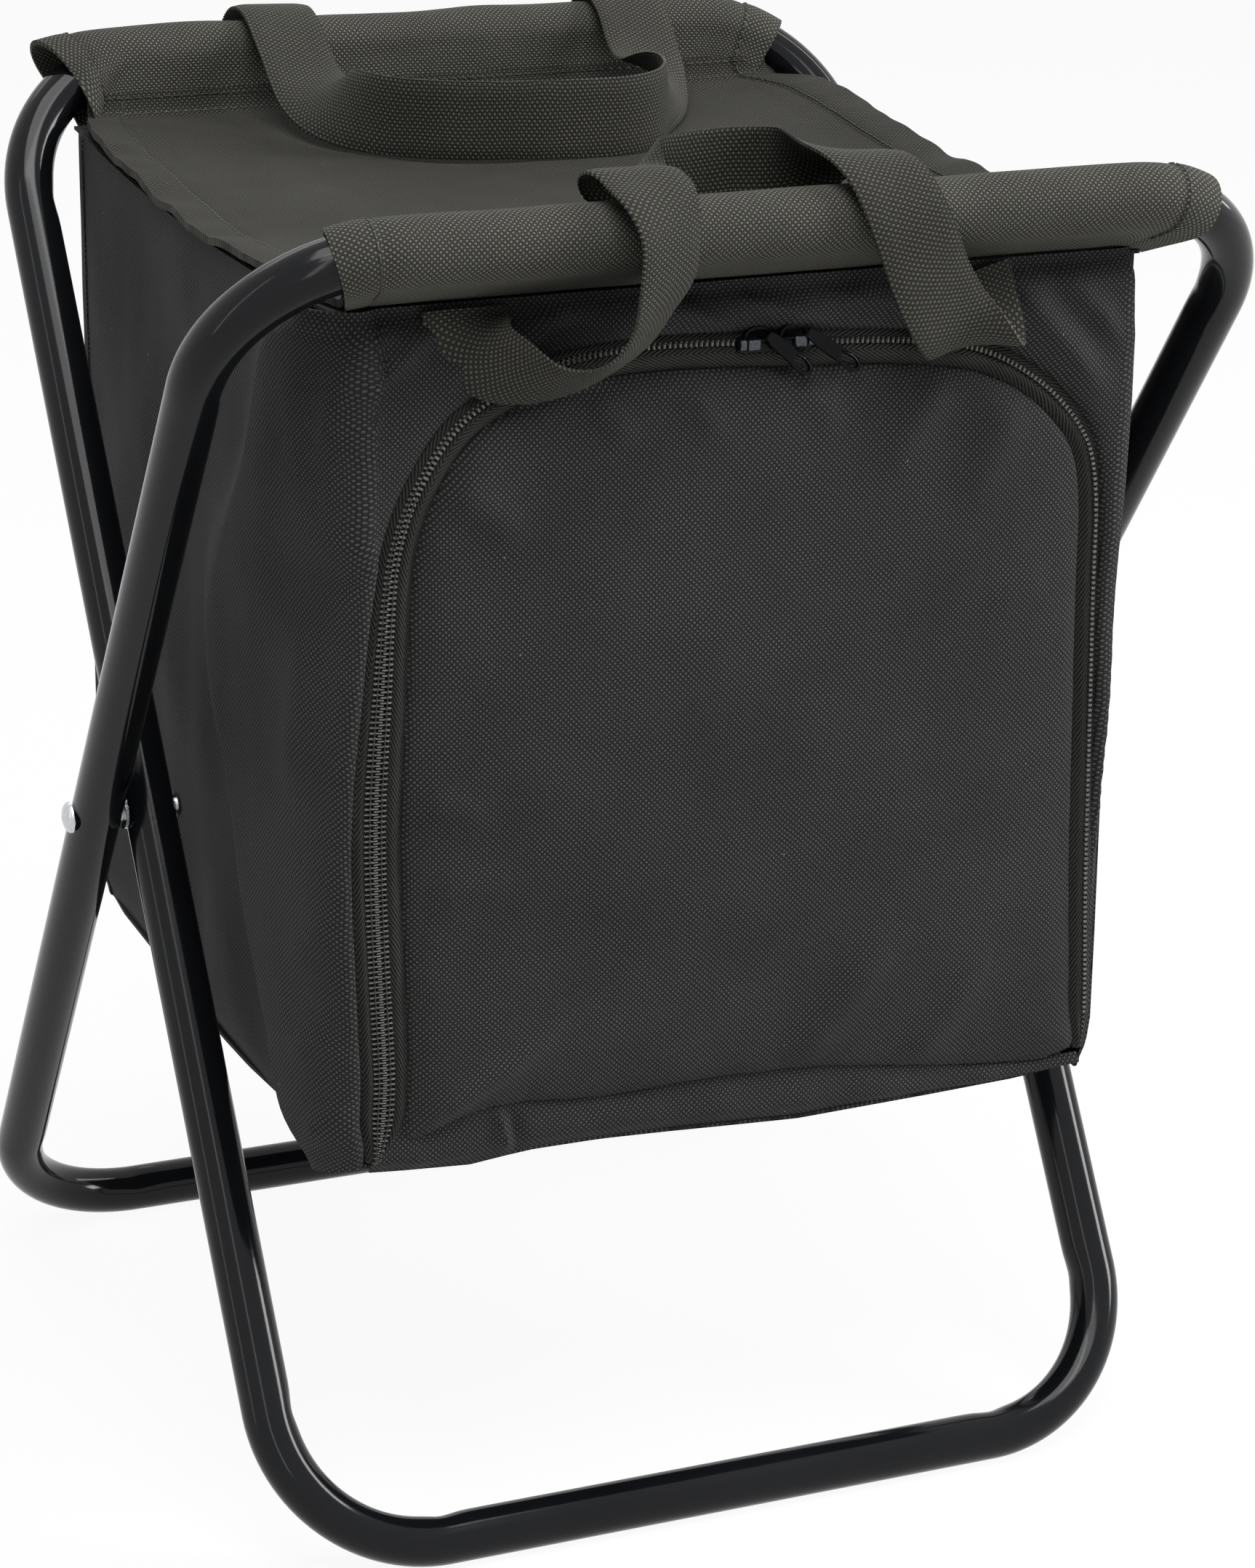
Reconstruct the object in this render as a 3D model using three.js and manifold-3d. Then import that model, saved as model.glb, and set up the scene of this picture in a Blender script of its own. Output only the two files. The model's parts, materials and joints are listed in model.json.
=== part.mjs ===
// A folding stool with a zipped cooler bag hung under its cloth seat.
// Millimetres, +Z up. The origin is on the floor under the middle of the seat,
// X runs along the two top tubes and the front of the bag faces -Y.
import * as THREE from 'three';
import { mergeVertices } from 'three/addons/utils/BufferGeometryUtils.js';
import Module from 'manifold-3d';

const wasm = await Module();
wasm.setup();

// Clearances and cuts
const touchGap = 0.3; // between pieces that touch
const cutOverrun = 5; // how far a cutting solid runs past what it cuts

// Frames: two closed loops of bent steel tube, crossed and riveted
const tubeDiameter = 16;
const tubeWall = 1;
const outerFrameWidth = 337; // over the outside of the legs
const legAbovePivot = 249; // rivet to the middle of the top tube
const legBelowPivot = 242; // rivet to the middle of the bottom tube
const bendRadius = 48; // to the middle of the tube
const bendFlattening = 0.5; // the outside of a bend is drawn in by this much
const openAngle = THREE.MathUtils.degToRad(34.6); // of each frame from upright
const tubeSides = 16;
const boreSides = 12;
const bendSteps = 9;

// Pivot rivets and the washers between the legs
const rivetShankDiameter = 6;
const rivetHoleClearance = 0.3;
const rivetHeadDiameter = 10;
const rivetHeadHeight = 2.6;
const formedHeadDiameter = 9;
const formedHeadHeight = 2;
const pivotFlatDiameter = 12.4; // the tube is pressed flat round the rivet
const pivotFlatDepth = 0.1;
const washerThickness = 0.9;
const washerDiameter = 11.4;
const rivetSides = 24;
const headSteps = 4;

// Cloth sleeves round the top tubes, sewn to the seat along their seam
const sleeveThickness = 1.1;
const sleeveEase = 0.45; // between a tube and its sleeve
const sleeveSeamDrop = 20.5; // middle of the tube to the seam
const frontSleeveBend = THREE.MathUtils.degToRad(20); // how far its ends follow the bends
const rearSleeveBend = THREE.MathUtils.degToRad(24);
const sleeveBendSteps = 4;
const sleeveArcSteps = 14;

// Seat panel
const seatThickness = 1.4;
const seamEase = 1.6; // the seat stops short of the sleeves, whose ends follow the bends
const seatSag = 6;
const seatHemWave = 1.5; // the hem wanders in and out
const seatRearTaper = 9; // each rear corner is drawn in past the tube's bend
const seatTaperLength = 26;
const seatSteps = 18;

// Cooler bag: cloth panels outside, foam-backed lining inside
const bagLegGap = 4.2; // from its fullest part to the inner frame's legs
const bagDepth = 260;
const bagBottomHeight = 131; // lower edge of its walls, above the floor
const bagTopDrop = 2.6; // from the seams of the sleeves to the upper edge of its walls
const clothThickness = 1.5;
const bagRearCorner = 12;
const bagFrontCorner = 7;
const sideCrown = 6; // its sides bulge by this much
const topPanelDrop = 9; // the bag's own top, below its front panel's edge
const liningThickness = 3;
const panelSteps = 10;
const cornerSteps = 5;

// Zip round the flap: an arch with straight legs
const zipInset = 10; // from the bag's edges to the middle of the coil on the legs
const zipTopHeight = 375; // middle of the coil on the straight top
const zipLeftRadius = 70; // the cloth is drawn in more on the left
const zipRightRadius = 52;
const flapHingeRise = 15; // from the bag's lower edge to the seam along the bottom of the flap
const zipFootRise = 4;
const coilWidth = 7.6;
const coilMeshGap = 1.4; // slot between the two halves of the zip, for the sliders' posts
const coilHeight = 2.4;
const coilProud = 2.2; // in front of the bag's front face
const tapeThickness = 0.8;
const bagTapeReach = 4.7; // from the middle of the zip
const flapTapeReach = 9.7;
const hingeClearance = 4.5; // the zip starts this far above the seam on the flap
const archSteps = 10;

// Flap
const flapEdgeThickness = 2.4;
const flapCrown = 4.5;
const flapLiningThickness = 1.2;
const flapLiningInset = 4;
const flapEdgeSteps = 6;
const flapRingShares = [1, 0.97, 0.88, 0.7, 0.4];

// Zip sliders and their pulls
const sliderLength = 12.5;
const sliderWidth = 8.4;
const sliderNoseShare = 0.55; // width of the nose against the whole width
const sliderPlateThickness = 1.1;
const sliderPostThickness = 0.8;
const sliderPostLength = 4;
const sliderSpacing = 17;
const sliderMiddle = 5; // along X, between the two sliders
const crownLength = 7.4;
const crownHeight = 2.9;
const crownWidth = 1.8;
const crownBar = 1.1;
const pullLength = 20;
const pullEyeWidth = 6.8;
const pullEyeBar = 1;
const pullEyeLength = 4.6;
const pullNeckWidth = 4.2;
const pullBorder = 1.4;
const pullTipWidth = 6.6;
const pullThickness = 1.2;
const pullHoleLength = 7;
const pullHoleWidth = 3.4;
const pullPivot = 1.2; // along the slider, from its middle
const pullDroop = THREE.MathUtils.degToRad(29);
const pullSteps = 8;

// Webbing handles
const webbingWidth = 25;
const webbingThickness = 1.6;
const webbingSteps = 72;
const frontHandleSpan = 156; // between the sewn ends
const rearHandleSpan = 122;
const rearHandleShift = 9;

// Sizes worked out from the ones above
const tubeRadius = tubeDiameter / 2;
const tubeCornerRadius = tubeRadius / Math.cos(Math.PI / tubeSides);
const boreRadius = tubeRadius - tubeWall;
const outerHalfWidth = outerFrameWidth / 2 - tubeRadius;
const pivotFlat = tubeRadius - pivotFlatDepth;
const innerHalfWidth = outerHalfWidth - 2 * pivotFlat - washerThickness - 2 * touchGap;
const pivotHeight = legBelowPivot * Math.cos(openAngle) + tubeRadius;
const topTubeHeight = pivotHeight + legAbovePivot * Math.cos(openAngle);
const topTubeReach = legAbovePivot * Math.sin(openAngle);
const sleeveInnerRadius = tubeCornerRadius + sleeveEase;
const sleeveRadius = sleeveInnerRadius + sleeveThickness;
const seamHeight = topTubeHeight - sleeveSeamDrop * Math.cos(openAngle);
const seamReach = topTubeReach - sleeveSeamDrop * Math.sin(openAngle);
const seatHalfLength = seamReach - seamEase;
const seatEndHeight = seamHeight + seatThickness / 2;
const bagHalfWidth = innerHalfWidth - tubeRadius - bagLegGap - sideCrown;
const bagWidth = 2 * bagHalfWidth;
const seatWidth = bagWidth;
const bagHalfDepth = bagDepth / 2;
const bagTopHeight = seamHeight - bagTopDrop;
const zipHalfWidth = bagHalfWidth - zipInset;
const flapHingeHeight = bagBottomHeight + flapHingeRise;
const zipFootHeight = bagBottomHeight + zipFootRise;
const coilHalf = coilWidth / 2;
const surroundEdge = bagTapeReach + touchGap;
const flapEdge = flapTapeReach + touchGap;
const coilBack = coilHeight - coilProud; // behind the bag's front face
const tapeFront = coilBack + touchGap;
const tapeBack = tapeFront + tapeThickness;
const sliderBackFront = tapeBack + touchGap;
const sliderFrontBack = coilProud + touchGap;
const pullStandOff = sliderFrontBack + sliderPlateThickness + (crownHeight - crownBar) / 2;
const zipSpan = { left: -zipHalfWidth + zipLeftRadius, right: zipHalfWidth - zipRightRadius };

// Colours and finishes
const finishes = {
  enamel: new THREE.MeshStandardMaterial({ color: '#101113', roughness: 0.18, metalness: 0.3 }),
  zinc: new THREE.MeshStandardMaterial({ color: '#b9bcbd', roughness: 0.3, metalness: 1 }),
  polyester: new THREE.MeshStandardMaterial({ color: '#2a2a29', roughness: 0.85, metalness: 0 }),
  webbing: new THREE.MeshStandardMaterial({ color: '#2d2d2b', roughness: 0.8, metalness: 0 }),
  foil: new THREE.MeshStandardMaterial({ color: '#c4c7c9', roughness: 0.35, metalness: 0.6 }),
  zipTape: new THREE.MeshStandardMaterial({ color: '#222221', roughness: 0.8, metalness: 0 }),
  zipCoil: new THREE.MeshStandardMaterial({ color: '#151515', roughness: 0.4, metalness: 0 }),
  blackMetal: new THREE.MeshStandardMaterial({ color: '#0e0e0f', roughness: 0.25, metalness: 0.5 }),
};

// Solids and meshes

function solidFrom(geometry) {
  const bare = geometry.clone();
  bare.deleteAttribute('normal');
  bare.deleteAttribute('uv');
  const merged = mergeVertices(bare);
  return new wasm.Manifold(new wasm.Mesh({
    numProp: 3,
    vertProperties: new Float32Array(merged.attributes.position.array),
    triVerts: new Uint32Array(merged.index.array),
  }));
}

function geometryFrom(solid) {
  const mesh = solid.getMesh();
  return bufferFrom(mesh.vertProperties, mesh.triVerts);
}

function bufferFrom(positions, triangles) {
  const geometry = new THREE.BufferGeometry();
  geometry.setAttribute('position', new THREE.BufferAttribute(new Float32Array(positions), 3));
  geometry.setIndex(new THREE.BufferAttribute(new Uint32Array(triangles), 1));
  geometry.computeVertexNormals();
  return geometry;
}

function join(...geometries) {
  return geometryFrom(geometries.map(solidFrom).reduce((whole, next) => whole.add(next)));
}

function cut(geometry, ...tools) {
  return geometryFrom(tools.map(solidFrom).reduce((left, tool) => left.subtract(tool), solidFrom(geometry)));
}

// Faces a closed surface outwards, going by the sign of its volume
function facingOut(points, triangles) {
  let volume = 0;
  for (let i = 0; i < triangles.length; i += 3) {
    const [a, b, c] = [0, 1, 2].map((k) => points[triangles[i + k]]);
    volume += a.dot(b.clone().cross(c));
  }
  if (volume < 0) {
    for (let i = 0; i < triangles.length; i += 3) {
      [triangles[i + 1], triangles[i + 2]] = [triangles[i + 2], triangles[i + 1]];
    }
  }
  return bufferFrom(points.flatMap((p) => [p.x, p.y, p.z]), triangles);
}

// Skins a row of rings that all have the same number of points
function skin(rings, closed) {
  const sides = rings[0].length;
  const triangles = [];
  const spans = closed ? rings.length : rings.length - 1;
  for (let i = 0; i < spans; i += 1) {
    const here = i * sides;
    const next = ((i + 1) % rings.length) * sides;
    for (let k = 0; k < sides; k += 1) {
      const k2 = (k + 1) % sides;
      triangles.push(here + k, here + k2, next + k2, here + k, next + k2, next + k);
    }
  }
  if (!closed) {
    const last = (rings.length - 1) * sides;
    for (let k = 1; k < sides - 1; k += 1) {
      triangles.push(0, k + 1, k, last, last + k, last + k + 1);
    }
  }
  return facingOut(rings.flat(), triangles);
}

// A sheet given by a function of two shares from 0 to 1, thickened by a vector
function sheet(surface, acrossSteps, alongSteps, thickening) {
  const points = [];
  for (const layer of [0, 1]) {
    for (let j = 0; j <= alongSteps; j += 1) {
      for (let i = 0; i <= acrossSteps; i += 1) {
        points.push(surface(i / acrossSteps, j / alongSteps).addScaledVector(thickening, layer));
      }
    }
  }
  const row = acrossSteps + 1;
  const under = row * (alongSteps + 1);
  const triangles = [];
  for (let j = 0; j < alongSteps; j += 1) {
    for (let i = 0; i < acrossSteps; i += 1) {
      const a = j * row + i;
      triangles.push(a, a + 1, a + row + 1, a, a + row + 1, a + row);
      const b = a + under;
      triangles.push(b, b + row + 1, b + 1, b, b + row, b + row + 1);
    }
  }
  const edge = [];
  for (let i = 0; i < acrossSteps; i += 1) edge.push(i);
  for (let j = 0; j < alongSteps; j += 1) edge.push(j * row + acrossSteps);
  for (let i = acrossSteps; i > 0; i -= 1) edge.push(alongSteps * row + i);
  for (let j = alongSteps; j > 0; j -= 1) edge.push(j * row);
  edge.forEach((a, n) => {
    const b = edge[(n + 1) % edge.length];
    triangles.push(a, a + under, b + under, a, b + under, b);
  });
  return facingOut(points, triangles);
}

// A flat outline drawn in X and Z, with its back at depth y and its front thickness nearer
function frontPlate(shape, y, thickness, curveSegments = archSteps) {
  const plate = new THREE.ExtrudeGeometry(shape, { depth: thickness, bevelEnabled: false, curveSegments });
  plate.rotateX(Math.PI / 2);
  plate.translate(0, y, 0);
  return plate;
}

function piece(name, geometry, finish) {
  const mesh = new THREE.Mesh(geometry, finish);
  mesh.name = name;
  return mesh;
}

function cylinderAlongX(diameter, from, to, sides = rivetSides) {
  const cylinder = new THREE.CylinderGeometry(diameter / 2, diameter / 2, Math.abs(to - from), sides);
  cylinder.rotateZ(Math.PI / 2);
  cylinder.translate((from + to) / 2, 0, 0);
  return cylinder;
}

// Frames. Each is drawn in its own plane, upright, with the pivot at the origin

// Stations round a loop: where the middle of the tube is, and which way is outwards
function loopStations(halfWidth) {
  const corners = [
    { x: halfWidth - bendRadius, z: legAbovePivot - bendRadius, start: 0 },
    { x: -halfWidth + bendRadius, z: legAbovePivot - bendRadius, start: Math.PI / 2 },
    { x: -halfWidth + bendRadius, z: -legBelowPivot + bendRadius, start: Math.PI },
    { x: halfWidth - bendRadius, z: -legBelowPivot + bendRadius, start: 1.5 * Math.PI },
  ];
  return corners.flatMap((corner) => {
    const stations = [];
    for (let i = 0; i <= bendSteps; i += 1) {
      const share = i / bendSteps;
      const angle = corner.start + share * Math.PI / 2;
      const outward = new THREE.Vector3(Math.cos(angle), 0, Math.sin(angle));
      const middle = new THREE.Vector3(corner.x, 0, corner.z).addScaledVector(outward, bendRadius);
      stations.push({ middle, outward, bent: Math.sin(share * Math.PI) });
    }
    return stations;
  });
}

// The flats of the tube's section are laid so that one faces the floor
function loopTube(halfWidth, radius, sides, lean) {
  const cornerRadius = radius / Math.cos(Math.PI / sides);
  const normal = new THREE.Vector3(0, 1, 0);
  const rings = loopStations(halfWidth).map(({ middle, outward, bent }) => {
    const ring = [];
    for (let k = 0; k < sides; k += 1) {
      const angle = -lean + (k + 0.5) * 2 * Math.PI / sides;
      const drawnIn = bendFlattening * bent * Math.max(0, Math.cos(angle));
      ring.push(middle.clone()
        .addScaledVector(outward, cornerRadius * Math.cos(angle) - drawnIn)
        .addScaledVector(normal, cornerRadius * Math.sin(angle)));
    }
    return ring;
  });
  return skin(rings, true);
}

function frameTube(halfWidth, lean) {
  const holes = [-1, 1].map((side) => cylinderAlongX(
    rivetShankDiameter + 2 * rivetHoleClearance,
    side * (halfWidth - tubeRadius - cutOverrun),
    side * (halfWidth + tubeRadius + cutOverrun),
  ));
  const flats = [-1, 1].flatMap((side) => [-1, 1].map((face) => cylinderAlongX(
    pivotFlatDiameter,
    side * halfWidth + face * pivotFlat,
    side * halfWidth + face * (pivotFlat + cutOverrun),
  )));
  return cut(
    loopTube(halfWidth, tubeRadius, tubeSides, lean),
    loopTube(halfWidth, boreRadius, boreSides, lean),
    ...holes,
    ...flats,
  );
}

// A sleeve's section is a circle drawn out to a point at the seam
function teardropRing(middle, outward, radius) {
  const normal = new THREE.Vector3(0, 1, 0);
  const tip = sleeveSeamDrop * radius / sleeveRadius;
  const tangent = Math.PI - Math.acos(radius / tip);
  const ring = [middle.clone().addScaledVector(outward, -tip)];
  for (let k = 0; k <= sleeveArcSteps; k += 1) {
    const angle = -tangent + 2 * tangent * k / sleeveArcSteps;
    ring.push(middle.clone()
      .addScaledVector(outward, radius * Math.cos(angle))
      .addScaledVector(normal, radius * Math.sin(angle)));
  }
  return ring;
}

function sleeveStations(halfWidth, bend) {
  const stations = [];
  for (const side of [-1, 1]) {
    for (let i = 0; i <= sleeveBendSteps; i += 1) {
      const share = side < 0 ? 1 - i / sleeveBendSteps : i / sleeveBendSteps;
      const outward = new THREE.Vector3(side * Math.sin(share * bend), 0, Math.cos(share * bend));
      const centre = new THREE.Vector3(side * (halfWidth - bendRadius), 0, legAbovePivot - bendRadius);
      stations.push({ middle: centre.addScaledVector(outward, bendRadius), outward });
    }
  }
  return stations;
}

function sleeve(halfWidth, bend) {
  const stations = sleeveStations(halfWidth, bend);
  const outside = skin(stations.map((s) => teardropRing(s.middle, s.outward, sleeveRadius)), false);
  const ends = [stations[0], stations[stations.length - 1]].map(({ middle, outward }) => {
    const along = new THREE.Vector3(outward.z, 0, -outward.x).multiplyScalar(Math.sign(middle.x) * cutOverrun);
    return { middle: middle.clone().add(along), outward };
  });
  const inside = [ends[0], ...stations, ends[1]];
  return cut(outside, skin(inside.map((s) => teardropRing(s.middle, s.outward, sleeveInnerRadius)), false));
}

function pivotRivet(side) {
  const headSeat = outerHalfWidth + pivotFlat + touchGap;
  const formedSeat = innerHalfWidth - pivotFlat - touchGap;
  const shankRadius = rivetShankDiameter / 2;
  const profile = [new THREE.Vector2(0, formedSeat - formedHeadHeight)];
  const dome = (diameter, seat, height) => {
    for (let i = 0; i < headSteps; i += 1) {
      const angle = Math.PI / 2 * (height < 0 ? i + 1 : i) / headSteps;
      profile.push(new THREE.Vector2(
        diameter / 2 * (height < 0 ? Math.sin(angle) : Math.cos(angle)),
        seat + height * (height < 0 ? Math.cos(angle) : Math.sin(angle)),
      ));
    }
  };
  dome(formedHeadDiameter, formedSeat, -formedHeadHeight);
  profile.push(new THREE.Vector2(shankRadius, formedSeat));
  profile.push(new THREE.Vector2(shankRadius, headSeat));
  dome(rivetHeadDiameter, headSeat, rivetHeadHeight);
  profile.push(new THREE.Vector2(0, headSeat + rivetHeadHeight));
  const rivet = new THREE.LatheGeometry(profile, rivetSides);
  rivet.rotateZ(-Math.PI / 2);
  if (side < 0) rivet.rotateY(Math.PI);
  return rivet;
}

function pivotWasher(side) {
  const near = side * (innerHalfWidth + pivotFlat + touchGap);
  const far = side * (outerHalfWidth - pivotFlat - touchGap);
  return cut(
    cylinderAlongX(washerDiameter, near, far),
    cylinderAlongX(rivetShankDiameter + 2 * touchGap, near - side * cutOverrun, far + side * cutOverrun),
  );
}

// Seat and bag

function seatHeight(y) {
  return seatEndHeight - seatSag * (1 - (y / seatHalfLength) ** 2);
}

function seatPanel() {
  const surface = (u, v) => {
    const y = THREE.MathUtils.lerp(-seatHalfLength, seatHalfLength, v);
    const wave = seatHemWave * (1 - Math.cos(6 * Math.PI * v)) / 2;
    const taper = seatRearTaper * THREE.MathUtils.smoothstep(y, seatHalfLength - seatTaperLength, seatHalfLength);
    const halfWidth = seatWidth / 2 - wave - taper;
    return new THREE.Vector3(THREE.MathUtils.lerp(-halfWidth, halfWidth, u), y, seatHeight(y));
  };
  return sheet(surface, seatSteps / 3, seatSteps, new THREE.Vector3(0, 0, -seatThickness));
}

// Bulges in the middle and lies flat along its four edges
function crownShare(u, v) {
  return Math.sin(Math.PI * u) * Math.sin(Math.PI * v);
}

function sidePanel(side) {
  const front = -bagHalfDepth + bagFrontCorner + touchGap;
  const rear = bagHalfDepth - bagRearCorner - touchGap;
  const surface = (u, v) => {
    const y = THREE.MathUtils.lerp(front, rear, u);
    const top = Math.min(bagTopHeight, seatHeight(y) - seatThickness - touchGap);
    const z = THREE.MathUtils.lerp(bagBottomHeight, top, v);
    return new THREE.Vector3(side * (bagHalfWidth + sideCrown * crownShare(u, v)), y, z);
  };
  return sheet(surface, panelSteps, panelSteps, new THREE.Vector3(-side * clothThickness, 0, 0));
}

// The bag seen from above, drawn in from its outside by an inset
function bagOutline(inset) {
  const x = bagHalfWidth - inset;
  const y = bagHalfDepth - inset;
  const front = bagFrontCorner - inset;
  const rear = bagRearCorner - inset;
  const outline = new THREE.Shape();
  outline.moveTo(-x + front, -y);
  outline.absarc(x - front, -y + front, front, -Math.PI / 2, 0, false);
  outline.absarc(x - rear, y - rear, rear, 0, Math.PI / 2, false);
  outline.absarc(-x + rear, y - rear, rear, Math.PI / 2, Math.PI, false);
  outline.absarc(-x + front, -y + front, front, Math.PI, 1.5 * Math.PI, false);
  return outline;
}

function upright(outline, from, to) {
  const solid = new THREE.ExtrudeGeometry(outline, {
    depth: to - from, bevelEnabled: false, curveSegments: cornerSteps,
  });
  solid.translate(0, 0, from);
  return solid;
}

// One end of the bag: a strip of cloth that turns both of its corners
function endPanel(towards, radius) {
  const inside = radius - clothThickness;
  const x = bagHalfWidth - radius;
  const y = bagHalfDepth - radius;
  const strip = new THREE.Shape();
  strip.moveTo(bagHalfWidth, y);
  strip.absarc(x, y, radius, 0, Math.PI / 2, false);
  strip.absarc(-x, y, radius, Math.PI / 2, Math.PI, false);
  strip.absarc(-x, y, inside, Math.PI, Math.PI / 2, true);
  strip.absarc(x, y, inside, Math.PI / 2, 0, true);
  const panel = upright(strip, bagBottomHeight, bagTopHeight);
  if (towards < 0) panel.rotateZ(Math.PI);
  return panel;
}

function bottomPanel() {
  const top = bagBottomHeight - touchGap;
  return upright(bagOutline(0), top - clothThickness, top);
}

function topPanel() {
  const top = bagTopHeight - topPanelDrop;
  return upright(bagOutline(clothThickness + touchGap), top - clothThickness, top);
}

// Foam faced with foil, open towards the flap
function lining() {
  const inset = clothThickness + touchGap;
  const low = bagBottomHeight + touchGap;
  const high = bagTopHeight - topPanelDrop - clothThickness - touchGap;
  const mouth = new THREE.BoxGeometry(bagWidth, bagDepth, bagTopHeight);
  mouth.translate(0, -bagDepth + bagFrontCorner + touchGap, bagTopHeight / 2);
  return cut(
    upright(bagOutline(inset), low, high),
    upright(bagOutline(inset + liningThickness), low + liningThickness, high - liningThickness),
    mouth,
  );
}

// Zip and flap. An arch is given by how far it lies outside the middle of the zip

function archPath(offset, footHeight) {
  const path = new THREE.Path();
  const top = zipTopHeight;
  path.moveTo(-zipHalfWidth - offset, footHeight);
  path.lineTo(-zipHalfWidth - offset, top - zipLeftRadius);
  path.absarc(zipSpan.left, top - zipLeftRadius, zipLeftRadius + offset, Math.PI, Math.PI / 2, true);
  path.absarc(zipSpan.right, top - zipRightRadius, zipRightRadius + offset, Math.PI / 2, 0, true);
  path.lineTo(zipHalfWidth + offset, footHeight);
  return path.getPoints(archSteps);
}

function archBand(inner, outer, footHeight) {
  return new THREE.Shape([...archPath(outer, footHeight), ...archPath(inner, footHeight).reverse()]);
}

// The same band with feet below the flap's seam, which reach in to another offset
function footedBand(inner, outer, footInner) {
  const low = zipFootHeight;
  const high = flapHingeHeight - touchGap;
  const footX = zipHalfWidth + footInner;
  const point = (x, z) => new THREE.Vector2(x, z);
  return new THREE.Shape([
    ...archPath(outer, low),
    point(footX, low), point(footX, high),
    ...archPath(inner, high).reverse(),
    point(-footX, high), point(-footX, low),
  ]);
}

function frontSurround() {
  const behind = -bagHalfDepth + bagFrontCorner;
  const depth = bagFrontCorner + cutOverrun;
  const mouth = new THREE.Shape(archPath(surroundEdge, flapHingeHeight - touchGap));
  const slots = [-1, 1].map((side) => {
    const slot = new THREE.BoxGeometry(surroundEdge + flapEdge, depth, flapHingeHeight - zipFootHeight + touchGap);
    slot.translate(
      side * (zipHalfWidth + (surroundEdge - flapEdge) / 2),
      behind - depth / 2,
      (flapHingeHeight + zipFootHeight - touchGap) / 2,
    );
    return slot;
  });
  return cut(endPanel(-1, bagFrontCorner), frontPlate(mouth, behind, depth), ...slots);
}

function flapPanel() {
  const outline = archPath(-flapEdge, flapHingeHeight);
  const foot = outline[outline.length - 1];
  for (let i = 1; i < flapEdgeSteps; i += 1) {
    outline.push(new THREE.Vector2(THREE.MathUtils.lerp(foot.x, -foot.x, i / flapEdgeSteps), foot.y));
  }
  const middle = new THREE.Vector2(0, (zipTopHeight + flapHingeHeight) / 2);
  const front = -bagHalfDepth;
  const points = [];
  flapRingShares.forEach((share) => outline.forEach((p) => {
    const q = middle.clone().lerp(p, share);
    points.push(new THREE.Vector3(q.x, front - flapCrown * Math.sqrt(1 - share ** 2), q.y));
  }));
  const tip = points.push(new THREE.Vector3(middle.x, front - flapCrown, middle.y)) - 1;
  const back = points.length;
  outline.forEach((p) => points.push(new THREE.Vector3(p.x, front + flapEdgeThickness, p.y)));
  const hub = points.push(new THREE.Vector3(middle.x, front + flapEdgeThickness, middle.y)) - 1;
  const count = outline.length;
  const triangles = [];
  for (let k = 0; k < count; k += 1) {
    const next = (k + 1) % count;
    for (let ring = 0; ring < flapRingShares.length - 1; ring += 1) {
      const a = ring * count;
      const b = a + count;
      triangles.push(a + k, a + next, b + next, a + k, b + next, b + k);
    }
    const last = (flapRingShares.length - 1) * count;
    triangles.push(last + k, last + next, tip);
    triangles.push(back + k, hub, back + next);
    triangles.push(k, back + k, back + next, k, back + next, next);
  }
  return facingOut(points, triangles);
}

function flapLining() {
  const inset = -flapEdge - flapLiningInset;
  const shape = new THREE.Shape(archPath(inset, flapHingeHeight + flapLiningInset));
  const back = -bagHalfDepth + flapEdgeThickness + touchGap + flapLiningThickness;
  return frontPlate(shape, back, flapLiningThickness);
}

function bagZipHalf(inner, outer, footInner, backDepth, thickness) {
  return frontPlate(footedBand(inner, outer, footInner), -bagHalfDepth + backDepth, thickness);
}

function flapZipHalf(inner, outer, backDepth, thickness) {
  const band = archBand(inner, outer, flapHingeHeight + hingeClearance);
  return frontPlate(band, -bagHalfDepth + backDepth, thickness);
}

// A slider is drawn at the origin in X and Z, with the mouth that parts the coil towards +X
function zipSlider() {
  const half = sliderLength / 2;
  const side = sliderWidth / 2;
  const nose = side * sliderNoseShare;
  const plan = new THREE.Shape();
  plan.moveTo(-half, -nose);
  plan.quadraticCurveTo(-half / 2, -side, 0, -side);
  plan.lineTo(half, -side);
  plan.lineTo(half, side);
  plan.lineTo(0, side);
  plan.quadraticCurveTo(-half / 2, side, -half, nose);
  plan.closePath();
  const front = frontPlate(plan, -sliderFrontBack, sliderPlateThickness, pullSteps);
  const rear = frontPlate(plan, sliderBackFront + sliderPlateThickness, sliderPlateThickness, pullSteps);
  const post = new THREE.Shape();
  post.absellipse(half - sliderPostLength, 0, sliderPostLength / 2, sliderPostThickness / 2, 0, 2 * Math.PI);
  const postDepth = sliderBackFront + sliderFrontBack + sliderPlateThickness;
  return join(
    front,
    rear,
    frontPlate(post, sliderBackFront + sliderPlateThickness / 2, postDepth, pullSteps),
    crownLoop(),
  );
}

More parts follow.
